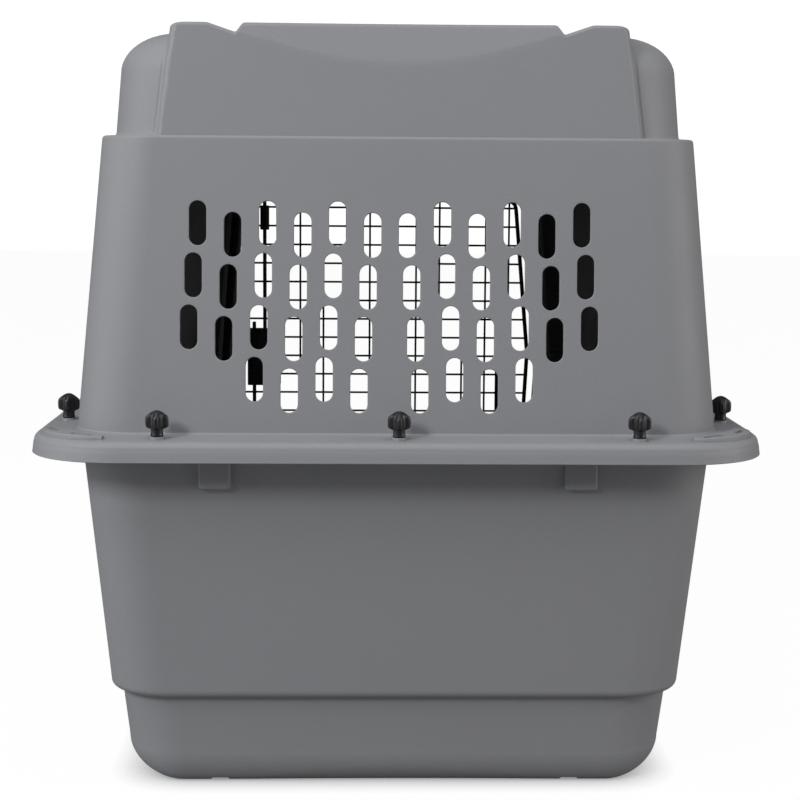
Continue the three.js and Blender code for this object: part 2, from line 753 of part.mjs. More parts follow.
function hingeRod() {
  return upright(HINGE_X, HINGE_Y, OPENING_SILL - 7, OPENING_TOP + 7, ROD, 8);
}

function rodGuide(x, z) {
  const half = GUIDE.length / 2;
  const sleeve = upright(x, LATCH_ROD_Y, z - half, z + half, GUIDE.diameter, 12);
  const bore = upright(x, LATCH_ROD_Y, z - half - 1, z + half + 1, ROD + 0.8, 8);
  const flat = GRILLE_BACK_Y + GRILLE_WIRE / 2 + GAP;
  const grilleSide = box(x - 20, x + 20, DOOR_Y - 20, flat, z - 40, z + 40);
  return sleeve.subtract(bore).subtract(grilleSide);
}

// ---------------------------------------------------------------- latch

function latchHousing() {
  const { x0, x1, y0, y1, z0, z1 } = HOUSING;
  const outer = box(x0, x1, y0, y1, z0, z1);
  const cavity = box(
    x0 + HOUSING_WALL, x1 - HOUSING_WALL, y0 - 1, y1 - HOUSING_WALL, z0 + HOUSING_WALL, z1 - HOUSING_WALL);
  const upperBore = upright(UPPER_ROD_X, LATCH_ROD_Y, z1 - 10, z1 + 10, ROD + 0.8, 8);
  const lowerBore = upright(LOWER_ROD_X, LATCH_ROD_Y, z0 - 10, z1 + 10, ROD + 0.8, 8);
  return outer.subtract(cavity).subtract(upperBore).subtract(lowerBore);
}

// A slider fills the housing from side to side and carries a finger grip out through its open front.
function sliderBlock(z0, z1, gripZ0, gripZ1) {
  const { x0, x1, y0, y1 } = HOUSING;
  const slack = 0.5;
  const left = x0 + HOUSING_WALL + slack;
  const right = x1 - HOUSING_WALL - slack;
  const back = y1 - HOUSING_WALL - slack;
  const body = box(left, right, y0 + 1.5, back, z0, z1);
  const grip = box(left + 2, right - 2, y0 - GRIP_DEPTH, y0 + 3, gripZ0, gripZ1);
  return body.add(grip);
}

function springPocket(z0, z1) {
  return upright(SPRING.x, SPRING.y, z0, z1, 2 * SPRING.radius + SPRING.wire + 1.4, 8);
}

function upperSlider() {
  const low = SLIDER_SPLIT + 1;
  const high = low + SLIDER_HEIGHT;
  return sliderBlock(low, high, high - 4, high)
    .subtract(springPocket(low - 1, low + SPRING.pocket))
    .subtract(upright(UPPER_ROD_X, LATCH_ROD_Y, low + 6, high + 1, ROD + 0.6, 8))
    .subtract(upright(LOWER_ROD_X, LATCH_ROD_Y, low - 1, high + 1, ROD + 1, 8));
}

function lowerSlider() {
  const high = SLIDER_SPLIT - 1;
  const low = high - SLIDER_HEIGHT;
  return sliderBlock(low, high, low, low + 4)
    .subtract(springPocket(high - SPRING.pocket, high + 1))
    .subtract(upright(LOWER_ROD_X, LATCH_ROD_Y, low - 1, high + 1, ROD + 0.6, 8));
}

function upperRod() {
  const low = SLIDER_SPLIT + 7 + GAP;
  return upright(UPPER_ROD_X, LATCH_ROD_Y, low, OPENING_TOP - 3, ROD, 8);
}

function lowerRod() {
  return upright(LOWER_ROD_X, LATCH_ROD_Y, OPENING_SILL + 3, FLANGE_TOP + 35, ROD, 8);
}

// Compression spring between the sliders, shown closed up.
function latchSpring() {
  const low = SLIDER_SPLIT - 1 - SPRING.pocket + GAP + SPRING.wire / 2;
  const high = SLIDER_SPLIT + 1 + SPRING.pocket - GAP - SPRING.wire / 2;
  const points = [];
  const stepsPerTurn = 7;
  const steps = SPRING.turns * stepsPerTurn;
  for (let i = 0; i <= steps; i += 1) {
    const angle = i / stepsPerTurn * 2 * Math.PI;
    points.push(new THREE.Vector3(
      SPRING.x + SPRING.radius * Math.cos(angle),
      SPRING.y + SPRING.radius * Math.sin(angle),
      low + (high - low) * i / steps));
  }
  const wire = new THREE.Shape().absarc(0, 0, SPRING.wire / 2, 0, 2 * Math.PI);
  const extrudePath = new THREE.CatmullRomCurve3(points);
  return toSolid(new THREE.ExtrudeGeometry(wire, { steps, extrudePath, curveSegments: 2 }));
}

// ---------------------------------------------------------------- assembly

addPart('bottom_shell', bottomShell(), SHELL_BOTTOM);
addPart('top_shell', topShell(), SHELL_TOP);
for (const { name, x, y } of fastenerPlaces()) {
  addPart(`bolt_${name}`, boltSolid(x, y), STEEL);
  addPart(`knob_${name}`, knobSolid(x, y), BLACK_PLASTIC);
}
addPart('door_frame', wireLoop(frameOutline(0), DOOR_Y, FRAME_WIRE, 6), BLACK_WIRE);
addPart('door_grille', grille(), BLACK_WIRE);
addPart('hinge_rod', hingeRod(), BLACK_WIRE);
addPart('upper_rod_guide', rodGuide(UPPER_ROD_X, GUIDE.upperZ), BLACK_PLASTIC);
addPart('lower_rod_guide', rodGuide(LOWER_ROD_X, GUIDE.lowerZ), BLACK_PLASTIC);
addPart('latch_housing', latchHousing(), BLACK_PLASTIC);
addPart('upper_slider', upperSlider(), BLACK_PLASTIC);
addPart('lower_slider', lowerSlider(), BLACK_PLASTIC);
addPart('upper_rod', upperRod(), BLACK_WIRE);
addPart('lower_rod', lowerRod(), BLACK_WIRE);
addPart('latch_spring', latchSpring(), STEEL);

export default carrier;
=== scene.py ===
"""Looks of the pet transport carrier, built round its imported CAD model.

The shells, the wire door, the latch and the fasteners are modelled here in millimetres and turned into
metres when their meshes are made. +Z is up, the vented rear wall is at +Y and the door at -Y.
"""
import math

import bmesh
import bpy
import numpy as np
from mathutils import Matrix, Vector


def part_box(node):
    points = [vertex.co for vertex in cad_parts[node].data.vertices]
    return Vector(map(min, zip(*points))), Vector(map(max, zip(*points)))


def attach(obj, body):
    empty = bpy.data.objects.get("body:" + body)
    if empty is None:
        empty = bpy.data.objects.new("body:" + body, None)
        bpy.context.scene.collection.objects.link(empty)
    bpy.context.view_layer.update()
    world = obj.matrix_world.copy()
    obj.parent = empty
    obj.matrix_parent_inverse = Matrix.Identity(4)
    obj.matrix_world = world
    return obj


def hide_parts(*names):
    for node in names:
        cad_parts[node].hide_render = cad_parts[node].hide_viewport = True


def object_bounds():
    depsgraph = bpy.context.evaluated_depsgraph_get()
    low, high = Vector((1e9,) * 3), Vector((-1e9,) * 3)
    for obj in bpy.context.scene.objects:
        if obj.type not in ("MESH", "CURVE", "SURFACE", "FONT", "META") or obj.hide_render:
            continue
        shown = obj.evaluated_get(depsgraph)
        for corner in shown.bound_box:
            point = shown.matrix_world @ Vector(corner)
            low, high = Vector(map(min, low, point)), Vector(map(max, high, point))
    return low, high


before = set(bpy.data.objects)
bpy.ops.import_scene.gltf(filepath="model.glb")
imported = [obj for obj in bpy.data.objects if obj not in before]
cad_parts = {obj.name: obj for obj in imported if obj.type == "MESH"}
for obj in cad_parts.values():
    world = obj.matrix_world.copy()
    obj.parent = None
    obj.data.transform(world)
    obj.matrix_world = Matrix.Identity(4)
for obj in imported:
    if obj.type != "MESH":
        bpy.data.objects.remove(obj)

CAD_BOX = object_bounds()
MM = 0.001

# ---------------------------------------------------------------- places from the frame

LOW, HIGH = [corner / MM for corner in CAD_BOX]
WIDTH = HIGH.x - LOW.x
LENGTH = HIGH.y - LOW.y
HEIGHT = HIGH.z
HALF_EXTRA = (LENGTH - WIDTH) / 2


def cad_box(node):
    """Lowest and highest corners of a CAD node in millimetres."""
    low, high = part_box(node)
    return Vector(low) / MM, Vector(high) / MM


def cad_centre(node):
    low, high = cad_box(node)
    return (low + high) / 2


SKIRT_BOTTOM = cad_box("top_shell")[0].z
PARTING = cad_box("bottom_shell")[1].z
FLANGE_TOP = SKIRT_BOTTOM + 17

# ---------------------------------------------------------------- shell sizes

WALL = 3.2
GAP = 0.3
FLANGE_RADIUS = 80
WALL_RADIUS = 52
FLANGE_LIP = 7
FOOT_FILLET = 1.7
TOP_FOOT_HALF = 279.5
LEDGE_HALF = 258
LEDGE_HEIGHT = FLANGE_TOP + 254.5
WALL_LEAN = (TOP_FOOT_HALF - LEDGE_HALF) / (LEDGE_HEIGHT - FLANGE_TOP - 6.5)
DOME_FOOT_HALF = 248.2
DOME_LEAN = 4.3
DOME_RADIUS = 58
DOME_ROLL_HEIGHT = 35
DOME_ROLL_WIDTH = 49
DOME_TOP = HEIGHT - 5.8
SLAB_FOOT_HALF = 206.5
SLAB_TOP_HALF = 195
SLAB_CORNER = 7
SLAB_FILLET = 4
SLAB_FACE = LEDGE_HALF + HALF_EXTRA - 3.4
SIDE_ROUND = 9
FACE_ROUND = 3
GROOVE_X = 140
GROOVE_DEPTH = 8
SCALLOP_DROP = 33.4
SCALLOP_STEEPNESS = 6
BOTTOM_HEAD_HALF = 276.5
LOWER_FLANGE_INSET = 6.1
STEP_HALF = 256.3
STEP_HEIGHT = 83.3
BASE_WALL_HALF = 247
BASE_CORNER_HALF = 242
BASE_CORNER_WIDE = 46
BASE_CORNER_HIGH = 34
BASE_END_SHARE = 0.40
BASE_GROOVE_X = 157
BASE_GROOVE_WIDTH = 17
BASE_ARCH_HIGH = 14.5
BASE_ARCH_LEAN = 0.14

SLOT_RADIUS = 7.3
SLOT_STRAIGHT = 11.5
SLOT_PITCH = 29.65
SLOT_ROW_PITCH = 43.9
SLOT_TOP_ROW = FLANGE_TOP + 181
SLOT_STAGGER = 9.6
SLOT_ROW_SHIFT = 3.7
REAR_SLOT_CENTRE = 8
REAR_SLOT_COLUMNS = 6
SIDE_SLOT_COLUMNS = 7
SLOT_ROWS = 4
SHORT_ROW = 2
RIM_ROUND = 1.3

DOOR_Y = cad_centre("door_frame").y
OPENING_TOP = FLANGE_TOP + 202
OPENING_SILL = FLANGE_TOP - 246
OPENING_HALF = 199
OPENING_TOP_HALF = 182.5
OPENING_SILL_HALF = 186
OPENING_RADIUS = 16
COLLAR_WIDTH = 16
COLLAR_FRONT = -420
COLLAR_BACK = -392

# ---------------------------------------------------------------- mesh helpers


def mesh_object(name, points, faces):
    """A mesh object from points in millimetres."""
    mesh = bpy.data.meshes.new(name)
    mesh.from_pydata([tuple(MM * c for c in p) for p in points], [], faces)
    mesh.update()
    thing = bpy.data.objects.new(name, mesh)
    bpy.context.scene.collection.objects.link(thing)
    return thing


def tidy_mesh(thing, merge=0.00002):
    """Joins doubled points, drops empty faces and turns the faces outwards."""
    bm = bmesh.new()
    bm.from_mesh(thing.data)
    bmesh.ops.remove_doubles(bm, verts=bm.verts, dist=merge)
    bmesh.ops.dissolve_degenerate(bm, edges=bm.edges, dist=merge / 2)
    bmesh.ops.recalc_face_normals(bm, faces=bm.faces)
    bm.to_mesh(thing.data)
    bm.free()


def smooth(thing, degrees=32, weighted=True):
    """Smooth shading with sharp edges kept above an angle."""
    thing.data.shade_smooth()
    thing.data.set_sharp_from_angle(angle=math.radians(degrees))
    if weighted:
        modifier = thing.modifiers.new("weighted", "WEIGHTED_NORMAL")
        modifier.keep_sharp = True
        modifier.weight = 80


def bake_modifiers(thing):
    """Replaces the mesh with what its modifiers make of it."""
    graph = bpy.context.evaluated_depsgraph_get()
    made = bpy.data.meshes.new_from_object(thing.evaluated_get(graph))
    thing.modifiers.clear()
    old = thing.data
    thing.data = made
    bpy.data.meshes.remove(old)


def combine(thing, other, operation):
    """Boolean of two closed meshes; the second one is used up."""
    modifier = thing.modifiers.new("combine", "BOOLEAN")
    modifier.operation = operation
    modifier.solver = "MANIFOLD"
    modifier.object = other
    bpy.context.view_layer.update()
    bake_modifiers(thing)
    bpy.data.objects.remove(other)


def join_objects(things):
    """One object holding the meshes of several."""
    bm = bmesh.new()
    for thing in things:
        bm.from_mesh(thing.data)
    first = things[0]
    bm.to_mesh(first.data)
    bm.free()
    for thing in things[1:]:
        bpy.data.objects.remove(thing)
    return first


def bevel(thing, width, segments=3, degrees=35):
    modifier = thing.modifiers.new("bevel", "BEVEL")
    modifier.width = width * MM
    modifier.segments = segments
    modifier.limit_method = "ANGLE"
    modifier.angle_limit = math.radians(degrees)
    bpy.context.view_layer.update()
    bake_modifiers(thing)


def strip_faces(rows, closed_rows=False):
    """Quads joining successive closed rings of equal length."""
    count = len(rows[0])
    faces = []
    last = len(rows) if closed_rows else len(rows) - 1
    for row in range(last):
        a = row * count
        b = ((row + 1) % len(rows)) * count
        for i in range(count):
            j = (i + 1) % count
            faces.append((a + i, a + j, b + j, b + i))
    return faces


def stacked(name, rows, closed_rows=False):
    """A closed body from rings stacked along a path, capped at its ends unless the path is a loop."""
    points = [p for row in rows for p in row]
    faces = strip_faces(rows, closed_rows)
    count = len(rows[0])
    if not closed_rows:
        faces.append(tuple(range(count))[::-1])
        faces.append(tuple(range(len(points) - count, len(points))))
    thing = mesh_object(name, points, faces)
    tidy_mesh(thing)
    return thing


def block(name, low, high, round_edges=0):
    (x0, y0, z0), (x1, y1, z1) = low, high
    ring = [(x0, y0), (x1, y0), (x1, y1), (x0, y1)]
    thing = stacked(name, [[(x, y, z) for x, y in ring] for z in (z0, z1)])
    if round_edges:
        bevel(thing, round_edges)
    return thing


def rod(name, x, y, z0, z1, diameter, sides=24, tip=0.0):
    """An upright round bar with bevelled tips."""
    radius = diameter / 2
    profile = [(radius - tip, z0), (radius, z0 + tip), (radius, z1 - tip), (radius - tip, z1)]
    if not tip:
        profile = [(radius, z0), (radius, z1)]
    return turned(name, profile, x, y, sides)


def turned(name, profile, x, y, sides=32):
    """A body turned about an upright axis from (radius, z) pairs."""
    angles = [2 * math.pi * i / sides for i in range(sides)]
    rows = [[(x + r * math.cos(a), y + r * math.sin(a), z) for a in angles] for r, z in profile]
    return stacked(name, rows)


# ---------------------------------------------------------------- materials


class Nodes:
    """Short way to add and wire shader nodes."""

    def __init__(self, name):
        self.material = bpy.data.materials.new(name)
        self.material.use_nodes = True
        self.tree = self.material.node_tree
        self.shader = self.tree.nodes["Principled BSDF"]

    def add(self, kind, **values):
        """A node with its settings and input values; an underscore stands for the space in a name."""
        node = self.tree.nodes.new(kind)
        for key, value in values.items():
            if hasattr(node, key):
                setattr(node, key, value)
            else:
                node.inputs[key.replace("_", " ")].default_value = value
        return node

    def link(self, source, target):
        self.tree.links.new(source, target)

    def place(self):
        return self.add("ShaderNodeTexCoord").outputs["Object"]

    def noise(self, scale, detail=2.0, roughness=0.5):
        node = self.add("ShaderNodeTexNoise", Scale=scale, Detail=detail, Roughness=roughness)
        self.link(self.place(), node.inputs["Vector"])
        return node.outputs["Fac"]

    def cells(self, scale):
        node = self.add("ShaderNodeTexVoronoi", feature="SMOOTH_F1", Scale=scale)
        self.link(self.place(), node.inputs["Vector"])
        return node.outputs["Distance"]

    def spread(self, source, low, high, start=0.0, end=1.0):
        """Maps start..end of a value onto low..high."""
        node = self.add("ShaderNodeMapRange", From_Min=start, From_Max=end, To_Min=low, To_Max=high)
        self.link(source, node.inputs["Value"])
        return node.outputs["Result"]

    def maths(self, operation, first, second):
        node = self.add("ShaderNodeMath", operation=operation)
        for socket, value in zip(node.inputs, (first, second)):
            if isinstance(value, (int, float)):
                socket.default_value = value
            else:
                self.link(value, socket)
        return node.outputs[0]

    def mixed(self, factor, first, second):
        """Colour mix; each of the three is a socket, or a plain colour or number."""
        node = self.add("ShaderNodeMix")
        node.data_type = "RGBA"
        for name, value in (("Factor", factor), ("A", first), ("B", second)):
            if isinstance(value, tuple):
                node.inputs[name].default_value = (*value, 1)
            elif isinstance(value, float):
                node.inputs[name].default_value = value
            else:
                self.link(value, node.inputs[name])
        return node.outputs["Result"]

    def bump(self, height, strength, distance, normal=None):
        node = self.add("ShaderNodeBump", Strength=strength, Distance=distance)
        self.link(height, node.inputs["Height"])
        if normal:
            self.link(normal, node.inputs["Normal"])
        return node.outputs["Normal"]

    def roughen(self, scale, detail, low, high):
        """Roughness that wanders between two values."""
        wander = self.spread(self.noise(scale, detail), low, high, 0.3, 0.7)
        self.link(wander, self.shader.inputs["Roughness"])

    def edges(self, start, end):
        """Nought on flat faces, rising to one along outside edges."""
        node = self.add("ShaderNodeNewGeometry")
        return self.spread(node.outputs["Pointiness"], 0, 1, start, end)


BARE_STEEL = (0.23, 0.23, 0.24)


def scaled(colour, factor):
    return tuple(min(1.0, c * factor) for c in colour)


def pebbled_plastic(name, colour, roughness):
    """Grey moulded shell: fine pebble grain, faint flow marks, rims lightened as a painted highlight with
    scuffing, and a little dust.
    """
    n = Nodes(name)
    flow = n.noise(3.2, 4, 0.55)
    speckle = n.noise(1500, 1, 0.4)
    body = n.mixed(n.spread(flow, 0, 1, 0.3, 0.7), scaled(colour, 0.965), scaled(colour, 1.035))
    flecks = n.mixed(n.spread(speckle, 0, 1, 0.35, 0.65), scaled(colour, 0.95), scaled(colour, 1.05))
    mottled = n.mixed(0.45, body, flecks)
    # Painted highlight: outside edges and slot rims are lightened as if catching the light, broken up by
    # noise like scuffing.
    edge_lightening = n.maths("MULTIPLY", n.edges(0.53, 0.62), n.spread(n.noise(60, 3), 0, 1, 0.45, 0.7))
    edge_lightened_colour = n.mixed(n.maths("MULTIPLY", edge_lightening, 0.5), mottled, scaled(colour, 1.22))
    n.link(edge_lightened_colour, n.shader.inputs["Base Color"])
    smudges = n.noise(9, 3, 0.6)
    n.link(n.spread(smudges, roughness - 0.05, roughness + 0.06, 0.3, 0.7), n.shader.inputs["Roughness"])
    pebble = n.bump(n.cells(620), 0.32, 0.00028)
    grain = n.bump(n.noise(1900, 2), 0.2, 0.0001, pebble)
    n.link(n.bump(n.noise(14, 2), 0.06, 0.002, grain), n.shader.inputs["Normal"])
    n.shader.inputs["IOR"].default_value = 1.49
    n.shader.inputs["Specular IOR Level"].default_value = 0.42
    return n.material


def black_plastic(name, colour, roughness):
    """Satin black moulding with a fine grain and greyed corners."""
    n = Nodes(name)
    patches = n.noise(120, 3, 0.55)
    body = n.mixed(n.spread(patches, 0, 1, 0.35, 0.65), scaled(colour, 0.75), scaled(colour, 1.35))
    edge_lightening = n.maths("MULTIPLY", n.edges(0.54, 0.66), n.spread(n.noise(400, 2), 0, 1, 0.4, 0.65))
    edge_lightened_colour = n.mixed(n.maths("MULTIPLY", edge_lightening, 0.6), body, scaled(colour, 4.0))
    n.link(edge_lightened_colour, n.shader.inputs["Base Color"])
    n.roughen(260, 3, roughness - 0.08, roughness + 0.1)
    n.link(n.bump(n.noise(1400, 2), 0.25, 0.00012), n.shader.inputs["Normal"])
    n.shader.inputs["IOR"].default_value = 1.5
    return n.material


def coated_wire(name, colour, roughness):
    """Black coated steel wire: slight orange peel, thin spots where the coat has rubbed."""
    n = Nodes(name)
    rubbed = n.maths("MULTIPLY", n.edges(0.52, 0.6), n.spread(n.noise(220, 3), 0, 1, 0.55, 0.75))
    body = n.mixed(n.spread(n.noise(60, 2), 0, 1), scaled(colour, 0.8), scaled(colour, 1.3))
    n.link(n.mixed(rubbed, body, BARE_STEEL), n.shader.inputs["Base Color"])
    n.roughen(300, 2, roughness - 0.06, roughness + 0.08)
    n.link(n.bump(n.noise(700, 1), 0.2, 0.0001), n.shader.inputs["Normal"])
    n.shader.inputs["Coat Weight"].default_value = 0.15
    return n.material


def plated_steel(name, colour, roughness):
    """Zinc plated steel with fine scratches and dull patches."""
    n = Nodes(name)
    body = n.mixed(n.spread(n.noise(150, 4), 0, 1, 0.3, 0.7), scaled(colour, 0.78), scaled(colour, 1.1))
    n.link(body, n.shader.inputs["Base Color"])
    n.shader.inputs["Metallic"].default_value = 1.0
    n.roughen(320, 3, roughness - 0.08, roughness + 0.14)
    n.link(n.bump(n.noise(900, 2), 0.15, 0.00008), n.shader.inputs["Normal"])
    return n.material


def stage_surface(name, colour):
    """Pale paper floor that shows almost white to the camera and bounces little light upwards; its glow is
    dimmed by ambient occlusion near the carrier, a painted contact shadow.
    """
    n = Nodes(name)
    shade = n.mixed(n.spread(n.noise(1.5, 2), 0, 1), scaled(colour, 0.985), colour)
    n.link(shade, n.shader.inputs["Base Color"])
    n.shader.inputs["Roughness"].default_value = 0.9
    n.shader.inputs["Specular IOR Level"].default_value = 0.1
    glow = n.add("ShaderNodeEmission")
    glow.inputs["Strength"].default_value = 1.08
    seen = n.add("ShaderNodeLightPath").outputs["Is Camera Ray"]
    mix = n.add("ShaderNodeMixShader")
    # Painted shadow: ambient occlusion dims the camera-only glow under and beside the carrier, and darkens
    # the floor seen through its groove notches.
    painted_contact_shadow = n.add("ShaderNodeAmbientOcclusion")
    painted_contact_shadow.samples = 4
    painted_contact_shadow.inputs["Distance"].default_value = 0.03
    glow_share = n.spread(painted_contact_shadow.outputs["AO"], 0.25, 0.9, 0, 0.9)
    n.link(n.maths("MULTIPLY", seen, glow_share), mix.inputs["Fac"])
    n.link(n.shader.outputs["BSDF"], mix.inputs[1])
    n.link(glow.outputs["Emission"], mix.inputs[2])
    n.link(mix.outputs["Shader"], n.tree.nodes["Material Output"].inputs["Surface"])
    return n.material


UPPER_GREY = pebbled_plastic("upper_grey_plastic", (0.245, 0.249, 0.264), 0.56)
LOWER_GREY = pebbled_plastic("lower_grey_plastic", (0.246, 0.250, 0.265), 0.57)
KNOB_BLACK = black_plastic("knob_black_plastic", (0.008, 0.008, 0.0095), 0.38)
LATCH_BLACK = black_plastic("latch_black_plastic", (0.016, 0.016, 0.018), 0.46)
WIRE_BLACK = coated_wire("door_black_wire", (0.02, 0.02, 0.022), 0.38)
ZINC = plated_steel("bolt_zinc", (0.62, 0.63, 0.65), 0.34)
SPRING_STEEL = plated_steel("spring_steel", (0.5, 0.5, 0.52), 0.3)


def finish_piece(thing, material, body, slot, *nodes):
    """Gives a piece its material, hangs it on the empty of the body it rides on and hides the CAD nodes it
    stands for.
    """
    thing.data.materials.clear()
    thing.data.materials.append(material)
    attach(thing, body)
    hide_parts(*nodes)
    return thing


# ---------------------------------------------------------------- ring layout of the shells

SIDE_POINTS = 22
ARC_POINTS = 14
RUN_POINTS = 3
FILLET_POINTS = 4
STEP_POINTS = 4
CORNER_POINTS = 6

GROOVE_PROFILE = [
    (0, 0), (131, 0), (133, 0.25), (134.5, 1.2), (137.5, 5.2), (138.8, 7.1), (140, 7.9),
    (141.5, 7.7), (143.5, 7.0), (163, 0.4), (165.5, 0), (400, 0)]

GROOVE_COLUMNS = [x for x, _ in GROOVE_PROFILE if 126 < x < 170]
FACE_COLUMNS = sorted(
    {*np.linspace(0, 126, 22), *np.linspace(146, 162, 5), *GROOVE_COLUMNS, 175}, reverse=True)


def groove(x):
    """Depth of the strap groove in the roof at a distance from the middle."""
    xs, depths = zip(*GROOVE_PROFILE)
    return float(np.interp(abs(x), xs, depths))


def arc_line(x, inset):
    """Height of the crease where the roof's end bevel starts."""
    t = min(abs(x) / GROOVE_X, 1)
    rise = (SCALLOP_DROP - GROOVE_DEPTH) * max(1 - t * t, 0) ** 1.15
    return HEIGHT - inset - GROOVE_DEPTH - rise


def slab_half(z, inset):
    share = (z - LEDGE_HEIGHT) / (HEIGHT - LEDGE_HEIGHT)
    return SLAB_FOOT_HALF + (SLAB_TOP_HALF - SLAB_FOOT_HALF) * share - inset


def slab_face(x, z, inset):
    """Y of the centre section's end face, bevelled above the crease."""
    lean = SLAB_FACE - inset - WALL_LEAN * (z - LEDGE_HEIGHT)
    crease = arc_line(x, inset)
    if abs(x) < GROOVE_X and z > crease:
        lean -= (z - crease) / SCALLOP_STEEPNESS
    return lean


def roof_quarter(half, radius, side_x, face_y):
    """Quarter outline of the roof from the middle of a side to the corner of the raised centre section.

    side_x is where the centre section's side is, and face_y gives its end face.
    """
    half_long = half + HALF_EXTRA
    centre = half - radius
    reach = min(side_x + SLAB_FILLET, half - 0.2)
    end_angle = math.acos(min(max((reach - centre) / radius, 0.0), 1.0))
    points = [(half, (half_long - radius) * i / SIDE_POINTS) for i in range(SIDE_POINTS)]
    for i in range(ARC_POINTS + 1):
        angle = end_angle * i / ARC_POINTS
        points.append((centre + radius * math.cos(angle), half_long - radius + radius * math.sin(angle)))
    foot = points[-1][1]
    top = face_y(side_x - SLAB_CORNER)
    fillet = min(SLAB_FILLET, (top - foot) / 3)
    corner = min(SLAB_CORNER, (top - foot) / 2)
    inner_x = min(side_x + fillet, reach)
    for i in range(1, RUN_POINTS + 1):
        points.append((reach + (inner_x - reach) * i / (RUN_POINTS + 1), foot))
    for i in range(FILLET_POINTS + 1):
        angle = math.pi / 2 * i / FILLET_POINTS
        x = inner_x - (inner_x - side_x) * math.sin(angle)
        points.append((x, foot + fillet * (1 - math.cos(angle))))
    stop = top - corner
    for i in range(1, STEP_POINTS + 1):
        points.append((side_x, foot + fillet + (stop - foot - fillet) * i / STEP_POINTS))
    for i in range(1, CORNER_POINTS + 1):
        angle = math.pi / 2 * i / CORNER_POINTS
        points.append((side_x - corner * (1 - math.cos(angle)), stop + corner * math.sin(angle)))
    return points


def whole_ring(quarter):
    """Mirrors a quarter outline into a closed ring."""
    across = [(-x, y, z) for x, y, z in reversed(quarter)][1:]
    opposite = [(-x, -y, z) for x, y, z in quarter][1:]
    back = [(x, -y, z) for x, y, z in reversed(quarter)][1:-1]
    return quarter + across + opposite + back


def plain_ring(half, z, radius, end_reach=0.0):
    """A rounded rectangle, laid out with the same number of points as a roof ring."""
    half_long = half + HALF_EXTRA + end_reach
    quarter = [(half, (half_long - radius) * i / SIDE_POINTS) for i in range(SIDE_POINTS)]
    for i in range(ARC_POINTS + 1):
        angle = math.pi / 2 * i / ARC_POINTS
        x = half - radius + radius * math.cos(angle)
        quarter.append((x, half_long - radius + radius * math.sin(angle)))
    spread = RUN_POINTS + FILLET_POINTS + 1 + STEP_POINTS + CORNER_POINTS
    start = half - radius
    stop = FACE_COLUMNS[0]
    quarter += [(start + (stop - start) * i / (spread + 1), half_long) for i in range(1, spread + 1)]
    quarter += [(x, half_long) for x in FACE_COLUMNS]
    return whole_ring([(x, y, z) for x, y in quarter])


def profile_rings(profile):
    return [plain_ring(*entry) for entry in profile]


def between(first, last, shares):
    """Ring sizes that lie the given shares of the way from one to another."""
    return [tuple(a + (b - a) * share for a, b in zip(first, last)) for share in shares]


def hollow_profile(half, z, out, up, radius, steps):
    """Ring sizes along a quarter turn that starts level and ends upright."""
    angles = [math.radians(90 * i / steps) for i in range(steps + 1)]
    return [(half + out * math.sin(a), z + up * (1 - math.cos(a)), radius) for a in angles]


def arc_profile(half, z, turns_in, climbs, radius, steps, start=0.0, end=90.0, shrink=1.0):
    """(half, z, radius) triples round a quarter ellipse."""
    triples = []
    for i in range(steps + 1):
        angle = math.radians(start + (end - start) * i / steps)
        inset = turns_in * (1 - math.cos(angle))
        triples.append((half - inset, z + climbs * math.sin(angle), max(radius - inset * shrink, 4)))
    return triples


# ---------------------------------------------------------------- upper shell


def roof_rings(inset):
    """Rings from the ledge up to the rim of the flat roof."""
    rings = []
    split = LEDGE_HEIGHT + 26.5
    roll_start = DOME_TOP - DOME_ROLL_HEIGHT
    crease_row = 8
    levels = []
    for rise, flare in ((0.2, 4.6), (0.5, 1.2), (1.6, 0.3), (3.2, 0), (9, 0), (17, 0)):
        z = LEDGE_HEIGHT - inset + rise
        levels.append((z, dome_half(z) - inset + flare, DOME_RADIUS - inset, None))
    roll = []
    for z in (split, split + 12):
        roll.append((z, dome_half(z) - inset, DOME_RADIUS - inset))
    for half, z, radius in arc_profile(
            dome_half(roll_start) - inset, roll_start - inset * 0.5, DOME_ROLL_WIDTH,
            DOME_ROLL_HEIGHT - inset * 0.5, DOME_RADIUS - inset, 14):
        roll.append((z, half, radius))
    for index, (z, half, radius) in enumerate(roll):
        levels.append((z, half, radius, index))
    last_index = len(roll) - 1
    for z, half, radius, index in levels:
        rings.append(roof_ring(z, half, radius, inset, index, crease_row, last_index, split, 0.0))
    for step in range(1, 7):
        angle = math.radians(90 * step / 6)
        z = DOME_TOP - inset + (HEIGHT - DOME_TOP) * math.sin(angle)
        half = slab_half(DOME_TOP, inset) - SIDE_ROUND * (1 - math.cos(angle))
        rings.append(roof_ring(z, half, 4, inset, last_index, crease_row, last_index, split, angle))
    return rings


def dome_half(z):
    share = (z - LEDGE_HEIGHT) / (DOME_TOP - DOME_ROLL_HEIGHT - LEDGE_HEIGHT)
    return DOME_FOOT_HALF - DOME_LEAN * min(share, 1)


